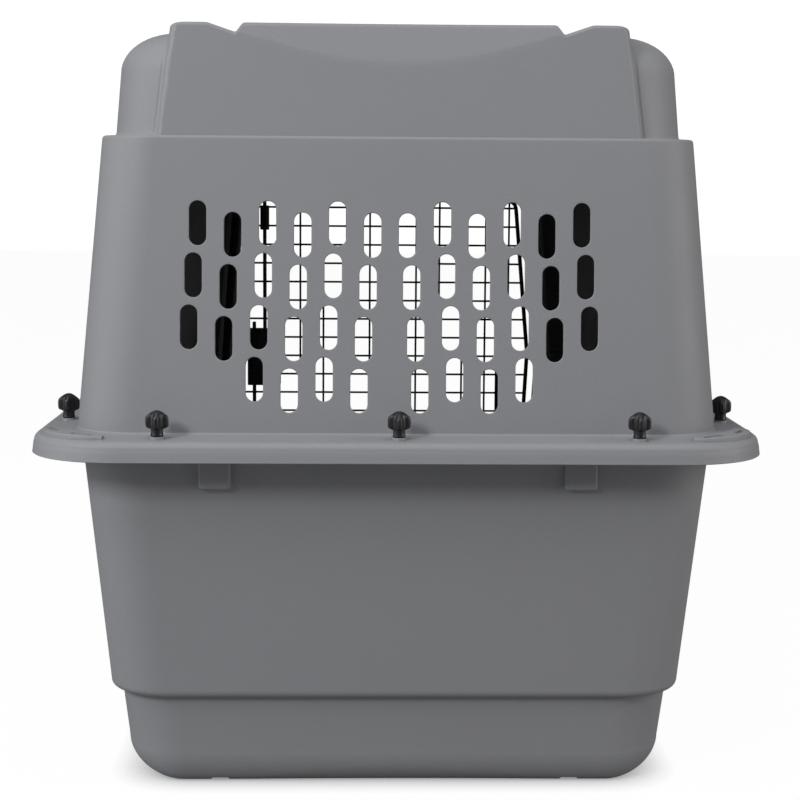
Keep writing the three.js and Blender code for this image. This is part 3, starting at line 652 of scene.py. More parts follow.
def roof_ring(z, half, radius, inset, index, crease_row, last_index, split, round_angle):
    rounding = SIDE_ROUND * (1 - math.cos(round_angle))
    side_x = slab_half(min(z, DOME_TOP), inset) - rounding
    half = max(half, side_x + 0.15)
    rim = HEIGHT - inset

    def face_height(x):
        if index is None:
            return z
        top = rim - groove(x) - FACE_ROUND
        crease = min(arc_line(x, inset), top - 0.5)
        if index <= crease_row:
            return split + (crease - split) * index / crease_row
        flat = crease + (top - crease) * (index - crease_row) / (last_index - crease_row)
        return flat + FACE_ROUND * math.sin(round_angle)

    def face_y(x):
        return slab_face(x, face_height(x), inset) - FACE_ROUND * (1 - math.cos(round_angle))

    quarter = roof_quarter(half, radius, side_x, face_y)
    corner_start = len(quarter) - CORNER_POINTS - 1
    points = []
    for i, (x, y) in enumerate(quarter):
        share = max(0.0, (i - corner_start) / CORNER_POINTS)
        height = z + (face_height(x) - z) * share
        points.append((x, y, height))
    room = quarter[-1][0]
    for x in FACE_COLUMNS:
        x = min(x, room - 1.5) if x > 170 else x
        points.append((x, face_y(x), face_height(x)))
    return whole_ring(points)


def roof_cap(ring, first, inset, upwards):
    """Faces and inner points that close the roof inside its last ring."""
    quarter = (len(ring) + 4) // 4
    columns = len(FACE_COLUMNS)
    sides = quarter - columns - CORNER_POINTS
    points = []
    faces = []
    count = len(ring)
    start = first + count

    def ring_index(i):
        return first + i % count

    rows_y = [ring[i][1] for i in range(sides)]
    top_y = ring[quarter - columns][1]
    grid_x = [ring[quarter - columns + j][0] for j in range(columns)]
    grid_x = grid_x + [-x for x in reversed(grid_x[:-1])]
    face_edge = [ring[quarter - columns + j][1] for j in range(columns)]
    face_edge = face_edge + list(reversed(face_edge[:-1]))
    all_y = list(reversed(rows_y)) + [-y for y in rows_y[1:]]
    wide = len(grid_x)
    tall = len(all_y)
    limit = ring[sides - 1][1]
    for y in all_y:
        for x, edge in zip(grid_x, face_edge):
            reach = limit * min(1.0, edge / top_y) - 1.2
            points.append((x, y / limit * reach, HEIGHT - inset - groove(x)))

    def grid(i, j):
        return start + i * wide + j

    for i in range(tall - 1):
        for j in range(wide - 1):
            faces.append((grid(i, j), grid(i, j + 1), grid(i + 1, j + 1), grid(i + 1, j)))
    half_ring = 2 * (quarter - 1)
    for j in range(wide - 1):
        a = quarter - columns + j
        faces.append((ring_index(a), ring_index(a + 1), grid(0, j + 1), grid(0, j)))
        b = half_ring + quarter - columns + j
        low = tall - 1
        faces.append((ring_index(b), ring_index(b + 1), grid(low, wide - 2 - j), grid(low, wide - 1 - j)))
    for i in range(tall - 1):
        right = sides - 1 - i
        faces.append((ring_index(right), grid(i, 0), grid(i + 1, 0), ring_index(right - 1)))
        left = half_ring - (sides - 1) + i
        faces.append((ring_index(left), ring_index(left + 1), grid(i + 1, wide - 1), grid(i, wide - 1)))
    corners = [
        (sides - 1, 1, grid(0, 0)), (half_ring - sides + 1, -1, grid(0, wide - 1)),
        (half_ring + sides - 1, 1, grid(tall - 1, wide - 1)),
        (count - sides + 1, -1, grid(tall - 1, 0))]
    for begin, way, inner in corners:
        fan = [ring_index(begin + way * i) for i in range(CORNER_POINTS + 2)]
        faces.append(tuple(fan + [inner]))
    if not upwards:
        faces = [face[::-1] for face in faces]
    return points, faces


def upper_outer_rings():
    skirt = WIDTH / 2
    rings = [
        (skirt - 0.6, SKIRT_BOTTOM + 0.1, FLANGE_RADIUS),
        (skirt - 0.02, SKIRT_BOTTOM + 0.7, FLANGE_RADIUS),
    ]
    rings += between(
        (skirt, SKIRT_BOTTOM, FLANGE_RADIUS), (skirt - 1.3, SKIRT_BOTTOM + 12, FLANGE_RADIUS),
        (0.25, 0.5, 0.75))
    rings += arc_profile(
        skirt - 1.5, FLANGE_TOP + 0.4 - FLANGE_LIP, FLANGE_LIP, FLANGE_LIP, FLANGE_RADIUS, 8)
    inner = TOP_FOOT_HALF + 1.6
    rings += between(
        (skirt - 1.5 - FLANGE_LIP, FLANGE_TOP + 0.4, FLANGE_RADIUS - FLANGE_LIP),
        (inner, FLANGE_TOP + 2.6, WALL_RADIUS + 2), (0.2, 0.4, 0.6, 0.8))
    rings += hollow_profile(inner, FLANGE_TOP + 2.6, -FOOT_FILLET, FOOT_FILLET, WALL_RADIUS + 1, 5)
    rings += between(
        (TOP_FOOT_HALF, FLANGE_TOP + 2.6 + FOOT_FILLET, WALL_RADIUS),
        (LEDGE_HALF, LEDGE_HEIGHT - 3, WALL_RADIUS - 3), np.linspace(0.04, 0.98, 12))
    rings += arc_profile(LEDGE_HALF - 0.1, LEDGE_HEIGHT - 2.6, 2.8, 2.8, WALL_RADIUS - 3, 5)
    return profile_rings(rings)


def upper_inner_rings():
    underside = PARTING + GAP
    rings = [
        (WIDTH / 2 - 0.6 - WALL, SKIRT_BOTTOM + 0.1, FLANGE_RADIUS - WALL),
        (WIDTH / 2 - 1.5 - WALL, underside, FLANGE_RADIUS - WALL),
        (WIDTH / 2 - 2.2 - WALL, underside + 0.02, FLANGE_RADIUS - WALL),
        (TOP_FOOT_HALF - WALL + 0.4, underside + 0.02, WALL_RADIUS - WALL),
        (TOP_FOOT_HALF - WALL, underside + 0.4, WALL_RADIUS - WALL),
    ]
    rings += between(
        (TOP_FOOT_HALF - WALL, underside + 6, WALL_RADIUS - WALL),
        (LEDGE_HALF - WALL, LEDGE_HEIGHT - WALL - 1, WALL_RADIUS - WALL), np.linspace(0.05, 1, 8))
    rings.append((LEDGE_HALF - WALL - 2, LEDGE_HEIGHT - WALL, WALL_RADIUS - WALL))
    return profile_rings(rings)


def upper_shell():
    outer = upper_outer_rings() + roof_rings(0)
    inner = upper_inner_rings() + roof_rings(WALL)
    count = len(outer[0])
    rows = inner[::-1] + outer
    points = [p for row in rows for p in row]
    faces = strip_faces(rows)
    top_first = len(points) - count
    cap_points, cap_faces = roof_cap(outer[-1], top_first, 0, True)
    points += cap_points
    faces += cap_faces
    low_points, low_faces = roof_cap(inner[-1], 0, WALL, False)
    shift = len(points) - count
    faces += [tuple(i if i < count else i + shift for i in face) for face in low_faces]
    points += low_points
    thing = mesh_object("upper_half_shell", points, faces)
    tidy_mesh(thing)
    return thing


# ---------------------------------------------------------------- vents


def slot_outline(u, v, radius, steps=12):
    """Points round a slot with round ends."""
    points = []
    for end in (1, -1):
        for i in range(steps + 1):
            angle = math.pi * i / steps
            rise = SLOT_STRAIGHT + radius * math.sin(angle)
            points.append((u + end * radius * math.cos(angle), v + end * rise))
    return points


def wall_half(z):
    return TOP_FOOT_HALF - WALL_LEAN * (z - FLANGE_TOP - 6.5)


def slot_cutter(u, v, to_world):
    """Cutter for one slot that flares out at both faces of the wall, so that both rims are rounded."""
    rows = []
    flare = [(-3, RIM_ROUND + 3), (0, RIM_ROUND), (0.1, 0.82), (0.38, 0.38), (0.82, 0.1), (RIM_ROUND, 0)]
    flare = [(d, min(o, RIM_ROUND)) for d, o in flare]
    inner = [(WALL - d, min(o, RIM_ROUND) * 0.6) for d, o in reversed(flare)]
    for depth, out in flare + inner:
        rows.append([to_world(a, b, depth) for a, b in slot_outline(u, v, SLOT_RADIUS + out)])
    return stacked("slot_cutter", rows)


def slot_places(columns, short_by):
    """Slots in two mirrored halves; rows spread as they go down, and the lowest one is shorter."""
    places = []
    for row in range(SLOT_ROWS):
        for column in range(columns - short_by if row == SLOT_ROWS - 1 else columns):
            out = SLOT_PITCH * (column + 0.5) + SLOT_ROW_SHIFT * row
            z = SLOT_TOP_ROW - row * SLOT_ROW_PITCH - (SLOT_STAGGER if column % 2 == 0 else 0)
            places += [(out, z), (-out, z)]
    return places


def vent_cutters():
    cutters = []
    for u, v in slot_places(REAR_SLOT_COLUMNS, SHORT_ROW):
        cutters.append(slot_cutter(
            u + REAR_SLOT_CENTRE, v, lambda a, b, d: (a, wall_half(b) + HALF_EXTRA - d, b)))
    for u, v in slot_places(SIDE_SLOT_COLUMNS, SHORT_ROW):
        for side in (-1, 1):
            cutters.append(slot_cutter(u, v, lambda a, b, d, s=side: (s * (wall_half(b) - d), a, b)))
    return join_objects(cutters)


# ---------------------------------------------------------------- doorway


def door_outline(top, top_half, half, sill, sill_half, radius, margin, steps=6):
    low = sill - margin
    high = top + margin
    corners = [
        (-sill_half - margin, low, radius + margin), (sill_half + margin, low, radius + margin),
        (half + margin, PARTING, 8), (top_half + margin, high, radius + margin),
        (-top_half - margin, high, radius + margin), (-half - margin, PARTING, 8)]
    return rounded_polygon(corners, steps)


def rounded_polygon(corners, steps):
    """A closed outline with its corners rounded by quadratic curves."""
    points = []
    for i, (x, y, radius) in enumerate(corners):
        here = Vector((x, y))
        before = Vector(corners[i - 1][:2]) - here
        after = Vector(corners[(i + 1) % len(corners)][:2]) - here
        before.normalize()
        after.normalize()
        half_angle = before.angle(after) / 2
        setback = radius / math.tan(half_angle)
        start = here + before * setback
        end = here + after * setback
        for k in range(steps + 1):
            t = k / steps
            p = start * (1 - t) ** 2 + here * 2 * t * (1 - t) + end * t * t
            points.append((p.x, p.y))
    return points


def opening_outline(margin, steps=6):
    return door_outline(
        OPENING_TOP, OPENING_TOP_HALF, OPENING_HALF, OPENING_SILL, OPENING_SILL_HALF, OPENING_RADIUS,
        margin, steps)


def door_prism(name, margins_and_depths):
    """A body with the doorway's outline; each entry is (margin, y)."""
    rows = [[(x, y, z) for x, z in opening_outline(margin)] for margin, y in margins_and_depths]
    return stacked(name, rows)


def half_block(z0, z1):
    return block("half", (-WIDTH, -LENGTH, z0), (WIDTH, LENGTH, z1))


def surround(z0, z1):
    """Hollow raised frame round the doorway, cut to one half of the carrier."""
    wide = COLLAR_WIDTH
    outer = door_prism("door_surround", [
        (wide + 1.5, COLLAR_BACK), (wide, COLLAR_FRONT + 3), (wide - 0.9, COLLAR_FRONT + 0.9),
        (wide - 3, COLLAR_FRONT)])
    combine(outer, surround_hollow(), "DIFFERENCE")
    combine(outer, half_block(z0, z1), "INTERSECT")
    return outer


def surround_hollow():
    """Room between the raised frame's skin and the lip round the doorway."""
    margin = COLLAR_WIDTH - WALL
    hollow = door_prism("hollow", [(margin, COLLAR_FRONT + WALL), (margin, COLLAR_BACK + 24)])
    combine(hollow, door_prism("lip", [(WALL, COLLAR_FRONT - 5), (WALL, COLLAR_BACK + 40)]), "DIFFERENCE")
    return hollow


def open_doorway(shell, z0, z1):
    """Adds the door surround to a shell and opens the doorway through it."""
    hollow = surround_hollow()
    combine(hollow, half_block(z0, z1), "INTERSECT")
    combine(shell, hollow, "DIFFERENCE")
    combine(shell, surround(z0, z1), "UNION")
    rim = 1.4
    combine(shell, door_prism("doorway", [
        (rim + 30, COLLAR_FRONT - 30), (rim, COLLAR_FRONT - 0.01), (rim * 0.3, COLLAR_FRONT + rim * 0.3),
        (0, COLLAR_FRONT + rim), (0, COLLAR_BACK + 40)]), "DIFFERENCE")
    half = OPENING_HALF + COLLAR_WIDTH
    corner = (-half, -LENGTH / 2 - 1, FLANGE_TOP - 30)
    combine(shell, block("flange_gap", corner, (half, COLLAR_FRONT, FLANGE_TOP + 30)), "DIFFERENCE")


def keeper_holes(shell, top):
    """Holes in the doorway's lip for the hinge rod and a latch rod."""
    z0, z1 = (OPENING_TOP - 30, OPENING_TOP + 9) if top else (OPENING_SILL - 9, OPENING_SILL + 30)
    for node in ("hinge_rod", "upper_rod" if top else "lower_rod"):
        centre = cad_centre(node)
        combine(shell, rod("keeper", centre.x, centre.y, z0, z1, 6.4), "DIFFERENCE")


# ---------------------------------------------------------------- flange details

FASTENERS = sorted(name[5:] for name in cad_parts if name.startswith("knob_"))


def bolt_holes(shell):
    for name in FASTENERS:
        centre = cad_centre("bolt_" + name)
        combine(shell, rod("hole", centre.x, centre.y, PARTING - 20, FLANGE_TOP + 20, 7), "DIFFERENCE")


def corner_places():
    return [(sx, sy) for sx in (-1, 1) for sy in (-1, 1)]


def tangent_slot(sx, sy, degrees, reach, long, wide, z0, z1):
    """A slot along the flange's corner curve."""
    angle = math.atan2(sy * math.sin(math.radians(degrees)), sx * math.cos(math.radians(degrees)))
    cx = sx * (WIDTH / 2 - FLANGE_RADIUS) + reach * math.cos(angle)
    cy = sy * (LENGTH / 2 - FLANGE_RADIUS) + reach * math.sin(angle)
    outline = rounded_polygon([
        (-long / 2, -wide / 2, wide * 0.42), (long / 2, -wide / 2, wide * 0.42),
        (long / 2, wide / 2, wide * 0.42), (-long / 2, wide / 2, wide * 0.42)], 4)
    turn = angle + math.pi / 2
    ring = [(
        cx + a * math.cos(turn) - b * math.sin(turn), cy + a * math.sin(turn) + b * math.cos(turn))
        for a, b in outline]
    return stacked("slot", [[(x, y, z) for x, y in ring] for z in (z0, z1)])


def corner_slots(shell):
    """Tie slots through the corners of the flange."""
    low = PARTING - 20
    high = FLANGE_TOP + 20
    cutters = []
    for sx, sy in corner_places():
        for degrees in (27, 63):
            cutters.append(tangent_slot(sx, sy, degrees, FLANGE_RADIUS - 16, 22, 4.8, low, high))
    combine(shell, join_objects(cutters), "DIFFERENCE")


def corner_pad(sx, sy):
    """Low crescent pad that stiffens a corner of the flange round its tie slots."""
    centre_x = sx * (WIDTH / 2 - FLANGE_RADIUS)
    centre_y = sy * (LENGTH / 2 - FLANGE_RADIUS)
    rows = []
    steps = 28
    for k in range(steps + 1):
        share = k / steps
        degrees = -4 + 84 * share
        angle = math.atan2(sy * math.sin(math.radians(degrees)), sx * math.cos(math.radians(degrees)))
        swell = math.sin(math.pi * min(max(share, 0.02), 0.98)) ** 0.45
        middle = FLANGE_RADIUS - 17
        wide = 9.5 * swell + 0.6
        high = FLANGE_TOP + 3.0 + 1.9 * swell
        near = middle - wide
        far = middle + wide
        section = [
            (near, FLANGE_TOP - 3), (far, FLANGE_TOP - 3), (far, high - 1.6), (far - 0.5, high - 0.5),
            (far - 1.6, high), (near + 1.6, high + 0.4), (near, high - 0.4)]
        east = math.cos(angle)
        north = math.sin(angle)
        rows.append([(centre_x + r * east, centre_y + r * north, z) for r, z in section])
    return stacked("pad", rows)


def knob_seat(name):
    """Low round boss under a knob."""
    centre = cad_centre("knob_" + name)
    top = cad_box("knob_" + name)[0].z - 0.25
    profile = [(6.0, FLANGE_TOP - 2), (5.9, top - 0.8), (5.7, top - 0.3), (5.2, top)]
    return turned("seat", profile, centre.x, centre.y, 40)


def flange_boss(x, y, out_x, out_y):
    """Rounded rib under the bottom flange, against the wall."""
    low = FLANGE_TOP - 45
    if out_y:
        base = BOTTOM_HEAD_HALF + HALF_EXTRA
        thing = block("boss", (x - 14, base - 14, low), (x + 14, base + 4.8, PARTING - 1))
    else:
        base = out_x * BOTTOM_HEAD_HALF
        x0, x1 = sorted((base - out_x * 14, base + out_x * 4.8))
        thing = block("boss", (x0, y - 14, low), (x1, y + 14, PARTING - 1))
    bevel(thing, 3.2, 4)
    return thing


def cut_inside(thing):
    """Takes the inside of the lower shell out of a rib that runs through its wall."""
    rings = profile_rings([(BOTTOM_HEAD_HALF - WALL / 2 - 0.0927 * 100, PARTING - 100, WALL_RADIUS),
                           (BOTTOM_HEAD_HALF - WALL / 2, PARTING + 2, WALL_RADIUS)])
    combine(thing, stacked("inside", rings), "DIFFERENCE")
    return thing


# ---------------------------------------------------------------- lower shell


def arch_line(x):
    half = BASE_GROOVE_X - BASE_GROOVE_WIDTH / 2
    return BASE_ARCH_HIGH * max(0.0, 1 - (x / half) ** 2)


def arched(ring):
    """Leans the ends of the base inwards below a shallow arch."""
    points = []
    for x, y, z in ring:
        drop = arch_line(x) - z
        if drop > 0 and abs(y) > BASE_CORNER_HALF:
            y -= math.copysign(BASE_ARCH_LEAN * drop, y)
        points.append((x, y, z))
    return points


def base_corner(half, wide, high, lift, radius, steps=14):
    """Profile of the rolled corner between the base and its walls, tighter at the two ends."""
    entries = []
    for i in range(steps + 1):
        angle = math.pi / 2 * (1 - i / steps)
        inset = wide * (1 - math.cos(angle))
        z = lift + high * (1 - math.sin(angle))
        entries.append((half - inset, z, max(radius - inset, 6), inset * (1 - BASE_END_SHARE)))
    return entries


def lower_outer_rings():
    rings = base_corner(BASE_CORNER_HALF, BASE_CORNER_WIDE, BASE_CORNER_HIGH, 0, WALL_RADIUS)
    rings += between(
        (BASE_CORNER_HALF, BASE_CORNER_HIGH, WALL_RADIUS), (BASE_WALL_HALF, STEP_HEIGHT - 3, WALL_RADIUS),
        (0.3, 0.65, 1))
    rings.append((BASE_WALL_HALF + 0.4, STEP_HEIGHT - 1.4, WALL_RADIUS))
    rings.append((BASE_WALL_HALF + 1.6, STEP_HEIGHT - 0.5, WALL_RADIUS))
    rings += hollow_profile(STEP_HALF - 6.5, STEP_HEIGHT, 6.5, 7.5, WALL_RADIUS, 7)
    rings += between(
        (STEP_HALF, STEP_HEIGHT + 8, WALL_RADIUS), (BOTTOM_HEAD_HALF, PARTING - WALL, WALL_RADIUS),
        np.linspace(0.06, 1, 10))
    edge = WIDTH / 2 - LOWER_FLANGE_INSET
    under = PARTING - WALL
    for half, z in ((edge - 0.8, under), (edge, under + 0.8), (edge, PARTING - 0.8), (edge - 0.8, PARTING)):
        rings.append((half, z, FLANGE_RADIUS - LOWER_FLANGE_INSET))
    return [arched(ring) for ring in profile_rings(rings)]


def lower_inner_rings():
    radius = WALL_RADIUS - WALL
    rings = base_corner(
        BASE_CORNER_HALF - WALL, BASE_CORNER_WIDE + 6, BASE_CORNER_HIGH - 2, WALL + 3, radius)
    rings.append((BASE_WALL_HALF - WALL, STEP_HEIGHT + WALL - 2, radius))
    rings.append((STEP_HALF - 3.5 - WALL, STEP_HEIGHT + WALL, radius))
    rings.append((STEP_HALF - WALL, STEP_HEIGHT + WALL + 6, radius))
    rings.append((BOTTOM_HEAD_HALF - WALL, PARTING - 1, radius))
    rings.append((BOTTOM_HEAD_HALF - WALL + 0.8, PARTING, radius))
    return profile_rings(rings)


def lower_shell():
    return stacked("lower_half_shell", lower_outer_rings() + lower_inner_rings()[::-1])


def base_grooves(shell):
    half = BASE_GROOVE_WIDTH / 2
    for side in (-1, 1):
        x = side * BASE_GROOVE_X
        section = [(x - half - 1, -2), (x + half + 1, -2), (x + half - 1.5, 3.5), (x - half + 1.5, 3.5)]
        rows = [[(u, y, w) for u, w in section] for y in (-LENGTH, LENGTH)]
        combine(shell, stacked("groove", rows), "DIFFERENCE")


# ---------------------------------------------------------------- shells, put together

upper = upper_shell()
open_doorway(upper, PARTING + GAP, HEIGHT + 1)
for sx, sy in corner_places():
    combine(upper, corner_pad(sx, sy), "UNION")
for name in FASTENERS:
    combine(upper, knob_seat(name), "UNION")
combine(upper, vent_cutters(), "DIFFERENCE")
bolt_holes(upper)
corner_slots(upper)
keeper_holes(upper, True)
smooth(upper)
finish_piece(upper, UPPER_GREY, "upper_half", "upper_shell_plastic", "top_shell")

lower = lower_shell()
open_doorway(lower, 0, PARTING)
bosses = [flange_boss(side * 157, 0, 0, 1) for side in (-1, 1)]
bosses += [flange_boss(0, y, side, 0) for side in (-1, 1) for y in (-290, 290)]
for boss in bosses:
    combine(lower, cut_inside(boss), "UNION")
base_grooves(lower)
bolt_holes(lower)
corner_slots(lower)
keeper_holes(lower, False)
smooth(lower)
finish_piece(lower, LOWER_GREY, "base", "lower_shell_plastic", "bottom_shell")

# ---------------------------------------------------------------- knobs and bolts


def knob(name):
    """Domed core on a stem, with four rounded upright wings."""
    node = "knob_" + name
    low, high = cad_box(node)
    centre = (low + high) / 2
    tall = high.z - low.z
    wing = (high.x - low.x) / 2
    sides = 72
    levels = [
        (0, 5.0, 0), (0.02, 5.5, 0), (0.07, 5.5, 0), (0.1, 5.1, 0), (0.27, 5.1, 0), (0.3, 5.4, 0.3),
        (0.34, 5.8, 0.75), (0.39, 6.1, 0.95), (0.5, 6.3, 1), (0.64, 6.4, 1), (0.72, 6.4, 0.93),
        (0.78, 6.3, 0.75), (0.82, 6.1, 0.5), (0.86, 5.8, 0.25), (0.9, 5.2, 0.08), (0.94, 4.2, 0),
        (0.975, 2.8, 0), (0.995, 1.2, 0), (1, 0.5, 0)]
    rows = []
    for share, core, reach in levels:
        row = []
        for i in range(sides):
            angle = 2 * math.pi * i / sides
            lobe = max(0.0, math.cos(4 * angle)) ** 0.6
            radius = core + (wing - core) * lobe * reach
            row.append((centre.x + radius * math.cos(angle), centre.y + radius * math.sin(angle),
                        low.z + tall * share))
        rows.append(row)
    thing = stacked("lobed_" + node, rows)
    smooth(thing, 50)
    return finish_piece(thing, KNOB_BLACK, node, "knob_plastic", node)


def bolt(name):
    """Hexagon head with a washer face, and a plain shank."""
    node = "bolt_" + name
    low, high = cad_box(node)
    centre = (low + high) / 2
    head_top = low.z + 3.6
    hexagon = [(6.9 * math.cos(math.pi * i / 3), 6.9 * math.sin(math.pi * i / 3)) for i in range(6)]
    rows = [[(centre.x + x * s, centre.y + y * s, z) for x, y in hexagon] for s, z in (
        (0.9, low.z), (1, low.z + 0.5), (1, head_top))]
    head = stacked("hex_" + node, rows)
    combine(head, rod("shank", centre.x, centre.y, head_top - 1, high.z, 5.9, 24, 0.5), "UNION")
    smooth(head, 30)
    return finish_piece(head, ZINC, "base", "bolt_steel", node)


for name in FASTENERS:
    knob(name)
    bolt(name)

# ---------------------------------------------------------------- wire door


def wire(name, path, diameter, sides=12, closed=False):
    """A round wire along a path of points."""
    points = [Vector(p) for p in path]
    count = len(points)
    rows = []
    side = Vector((0, 1, 0))
    for i, here in enumerate(points):
        before = points[i - 1] if closed or i > 0 else here
        after = points[(i + 1) % count] if closed or i + 1 < count else here
        along = (after - before).normalized()
        across = along.cross(side).normalized()
        up = across.cross(along).normalized()
        rows.append([
            tuple(here + (across * math.cos(a) + up * math.sin(a)) * diameter / 2)
            for a in (2 * math.pi * k / sides for k in range(sides))])
    return stacked(name, rows, closed)


FRAME_LOW, FRAME_HIGH = cad_box("door_frame")
FRAME_WIRE = FRAME_HIGH.y - FRAME_LOW.y
FRAME_HALF = FRAME_HIGH.x - FRAME_WIRE / 2
FRAME_TOP = FRAME_HIGH.z - FRAME_WIRE / 2
FRAME_SILL = FRAME_LOW.z + FRAME_WIRE / 2
FRAME_TOP_HALF = FRAME_HALF - 18
FRAME_SILL_HALF = FRAME_HALF - 11.5
GRILLE_WIRE = 2.6
WIRE_PITCH_X = 30.27
WIRE_PITCH_Z = 24.25
FIRST_WIRE_X = 140.5
FIRST_WIRE_Z = FLANGE_TOP + 184.2


def frame_half_at(z, margin):
    """Half width inside the door frame at a height."""
    if z > PARTING:
        share = (z - PARTING) / (FRAME_TOP - PARTING)
        return FRAME_HALF + (FRAME_TOP_HALF - FRAME_HALF) * share - margin
    share = (PARTING - z) / (PARTING - FRAME_SILL)
    return FRAME_HALF + (FRAME_SILL_HALF - FRAME_HALF) * share - margin


def door_frame():
    outline = door_outline(
        FRAME_TOP, FRAME_TOP_HALF, FRAME_HALF, FRAME_SILL, FRAME_SILL_HALF, 13, 0, 8)
    thing = wire("door_frame_wire", [(x, DOOR_Y, z) for x, z in outline], FRAME_WIRE - 0.1, 16, True)
    smooth(thing, 50, False)
    return finish_piece(thing, WIRE_BLACK, "door", "black_wire", "door_frame")


def grille():
    """Welded grille: upright wires behind, level wires in front, left out round the latch."""
    latch_low, latch_high = cad_box("latch_housing")
    back_y = DOOR_Y + 1.2
    front_y = back_y - GRILLE_WIRE + 0.25
    wires = []
    inside = FRAME_WIRE / 2 - 0.6
    for i in range(11):
        x = FIRST_WIRE_X - i * WIRE_PITCH_X
        lean_top = FRAME_TOP - inside
        lean_low = FRAME_SILL + inside
        spans = [(lean_low, lean_top)]
        if latch_low.x < x < latch_high.x:
            spans = [(lean_low, latch_low.z - 0.2), (latch_high.z + 0.2, lean_top)]
        for z0, z1 in spans:
            wires.append(wire("bar", [(x, back_y, z0), (x, back_y, z1)], GRILLE_WIRE))
    for i in range(18):
        z = FIRST_WIRE_Z - i * WIRE_PITCH_Z
        half = frame_half_at(z, inside)
        right = latch_low.x - 0.2 if latch_low.z - 1.5 < z < latch_high.z + 1.5 else half
        wires.append(wire("bar", [(-half, front_y, z), (right, front_y, z)], GRILLE_WIRE))
    thing = wires[0]
    for other in wires[1:]:
        combine(thing, other, "UNION")
    thing.name = "door_grille_wires"
    smooth(thing, 50, False)
    return finish_piece(thing, WIRE_BLACK, "door", "black_wire", "door_grille")


def round_bar(node, new_name, slot_name, body, material):
    low, high = cad_box(node)
    centre = (low + high) / 2
    thing = rod(new_name, centre.x, centre.y, low.z, high.z, high.x - low.x, 24, 0.8)
    smooth(thing, 40)
    return finish_piece(thing, material, body, slot_name, node)


door_frame()
grille()
round_bar("hinge_rod", "door_hinge_rod", "black_wire", "door", WIRE_BLACK)
round_bar("upper_rod", "latch_rod_upper", "black_wire", "upper_latch", WIRE_BLACK)
round_bar("lower_rod", "latch_rod_lower", "black_wire", "lower_latch", WIRE_BLACK)


def rod_guide(node, rod_node):
    low, high = cad_box(node)
    centre = cad_centre(rod_node)
    profile = [
        (5.2, low.z), (5.9, low.z + 0.8), (5.9, high.z - 0.8), (5.2, high.z)]
    thing = turned(node + "_sleeve", profile, centre.x, centre.y, 36)
    combine(thing, rod("bore", centre.x, centre.y, low.z - 5, high.z + 5, 5.6), "DIFFERENCE")
    corner = (centre.x - 20, centre.y - 20, low.z - 5)
    combine(thing, block("flat", corner, (centre.x + 20, low.y, high.z + 5)), "DIFFERENCE")
    smooth(thing, 35)
    return finish_piece(thing, LATCH_BLACK, "door", "latch_plastic", node)


rod_guide("upper_rod_guide", "upper_rod")
rod_guide("lower_rod_guide", "lower_rod")

# ---------------------------------------------------------------- latch


def latch_housing():
    low, high = cad_box("latch_housing")
    wall = 2.2
    thing = block("latch_case", low, high, 1.1)
    cavity = block(
        "cavity", (low.x + wall, low.y - 5, low.z + wall), (high.x - wall, high.y - wall, high.z - wall))
    combine(thing, cavity, "DIFFERENCE")
    upper_rod, lower_rod = cad_centre("upper_rod"), cad_centre("lower_rod")
    combine(thing, rod("bore", upper_rod.x, upper_rod.y, high.z - 10, high.z + 10, 5.6), "DIFFERENCE")
    combine(thing, rod("bore", lower_rod.x, lower_rod.y, low.z - 10, high.z + 10, 5.6), "DIFFERENCE")
    smooth(thing, 35)
    return finish_piece(thing, LATCH_BLACK, "door", "latch_plastic", "latch_housing")


def slider(node, body, grip_up):
    """Slider with a ribbed finger grip standing out through the front of the case."""
    low, high = cad_box(node)
    case_front = cad_box("latch_housing")[0].y
    thing = block(node + "_body", (low.x, case_front + 1.5, low.z), (high.x, high.y, high.z), 0.6)
    z0, z1 = (high.z - 4, high.z) if grip_up else (low.z, low.z + 4)
    grip = block("grip", (low.x + 2, low.y, z0), (high.x - 2, case_front + 4, z1), 1.0)
    combine(thing, grip, "UNION")
    for k in range(5):
        x = low.x + 7 + k * 5.8
        z = z1 if grip_up else z0
        rib = block("rib", (x, low.y + 1.2, z - 0.5), (x + 1.6, case_front - 1, z + 0.5))
        combine(thing, rib, "DIFFERENCE")
    upper_rod, lower_rod = cad_centre("upper_rod"), cad_centre("lower_rod")
    if grip_up:
        combine(thing, rod("bore", upper_rod.x, upper_rod.y, low.z + 6, high.z + 2, 5.2), "DIFFERENCE")
    combine(thing, rod("bore", lower_rod.x, lower_rod.y, low.z - 2, high.z + 2, 5.6), "DIFFERENCE")
    spring = cad_centre("latch_spring")
    z0, z1 = (low.z - 1, low.z + 9) if grip_up else (high.z - 9, high.z + 1)
    combine(thing, rod("pocket", spring.x, spring.y, z0, z1, 8.3), "DIFFERENCE")
    smooth(thing, 35)
    return finish_piece(thing, LATCH_BLACK, body, "latch_plastic", node)


def latch_spring():
    low, high = cad_box("latch_spring")
    centre = (low + high) / 2
    gauge = 0.9
    coil = (high.x - low.x - gauge) / 2
    turns = 5
    path = []
    for i in range(turns * 20 + 1):
        angle = 2 * math.pi * i / 20
        z = low.z + gauge / 2 + (high.z - low.z - gauge) * i / (turns * 20)
        path.append((centre.x + coil * math.cos(angle), centre.y + coil * math.sin(angle), z))
    rows = []
    for i, p in enumerate(path):
        angle = 2 * math.pi * i / 20
        out = Vector((math.cos(angle), math.sin(angle), 0))
        rows.append([
            tuple(Vector(p) + (out * math.cos(a) + Vector((0, 0, 1)) * math.sin(a)) * gauge / 2)
            for a in (2 * math.pi * k / 8 for k in range(8))])
    thing = stacked("latch_coil", rows)
    smooth(thing, 60, False)
    return finish_piece(thing, SPRING_STEEL, "door", "spring_steel", "latch_spring")


latch_housing()
slider("upper_slider", "upper_latch", True)
slider("lower_slider", "lower_latch", False)
latch_spring()

# ---------------------------------------------------------------- floor, lights and camera


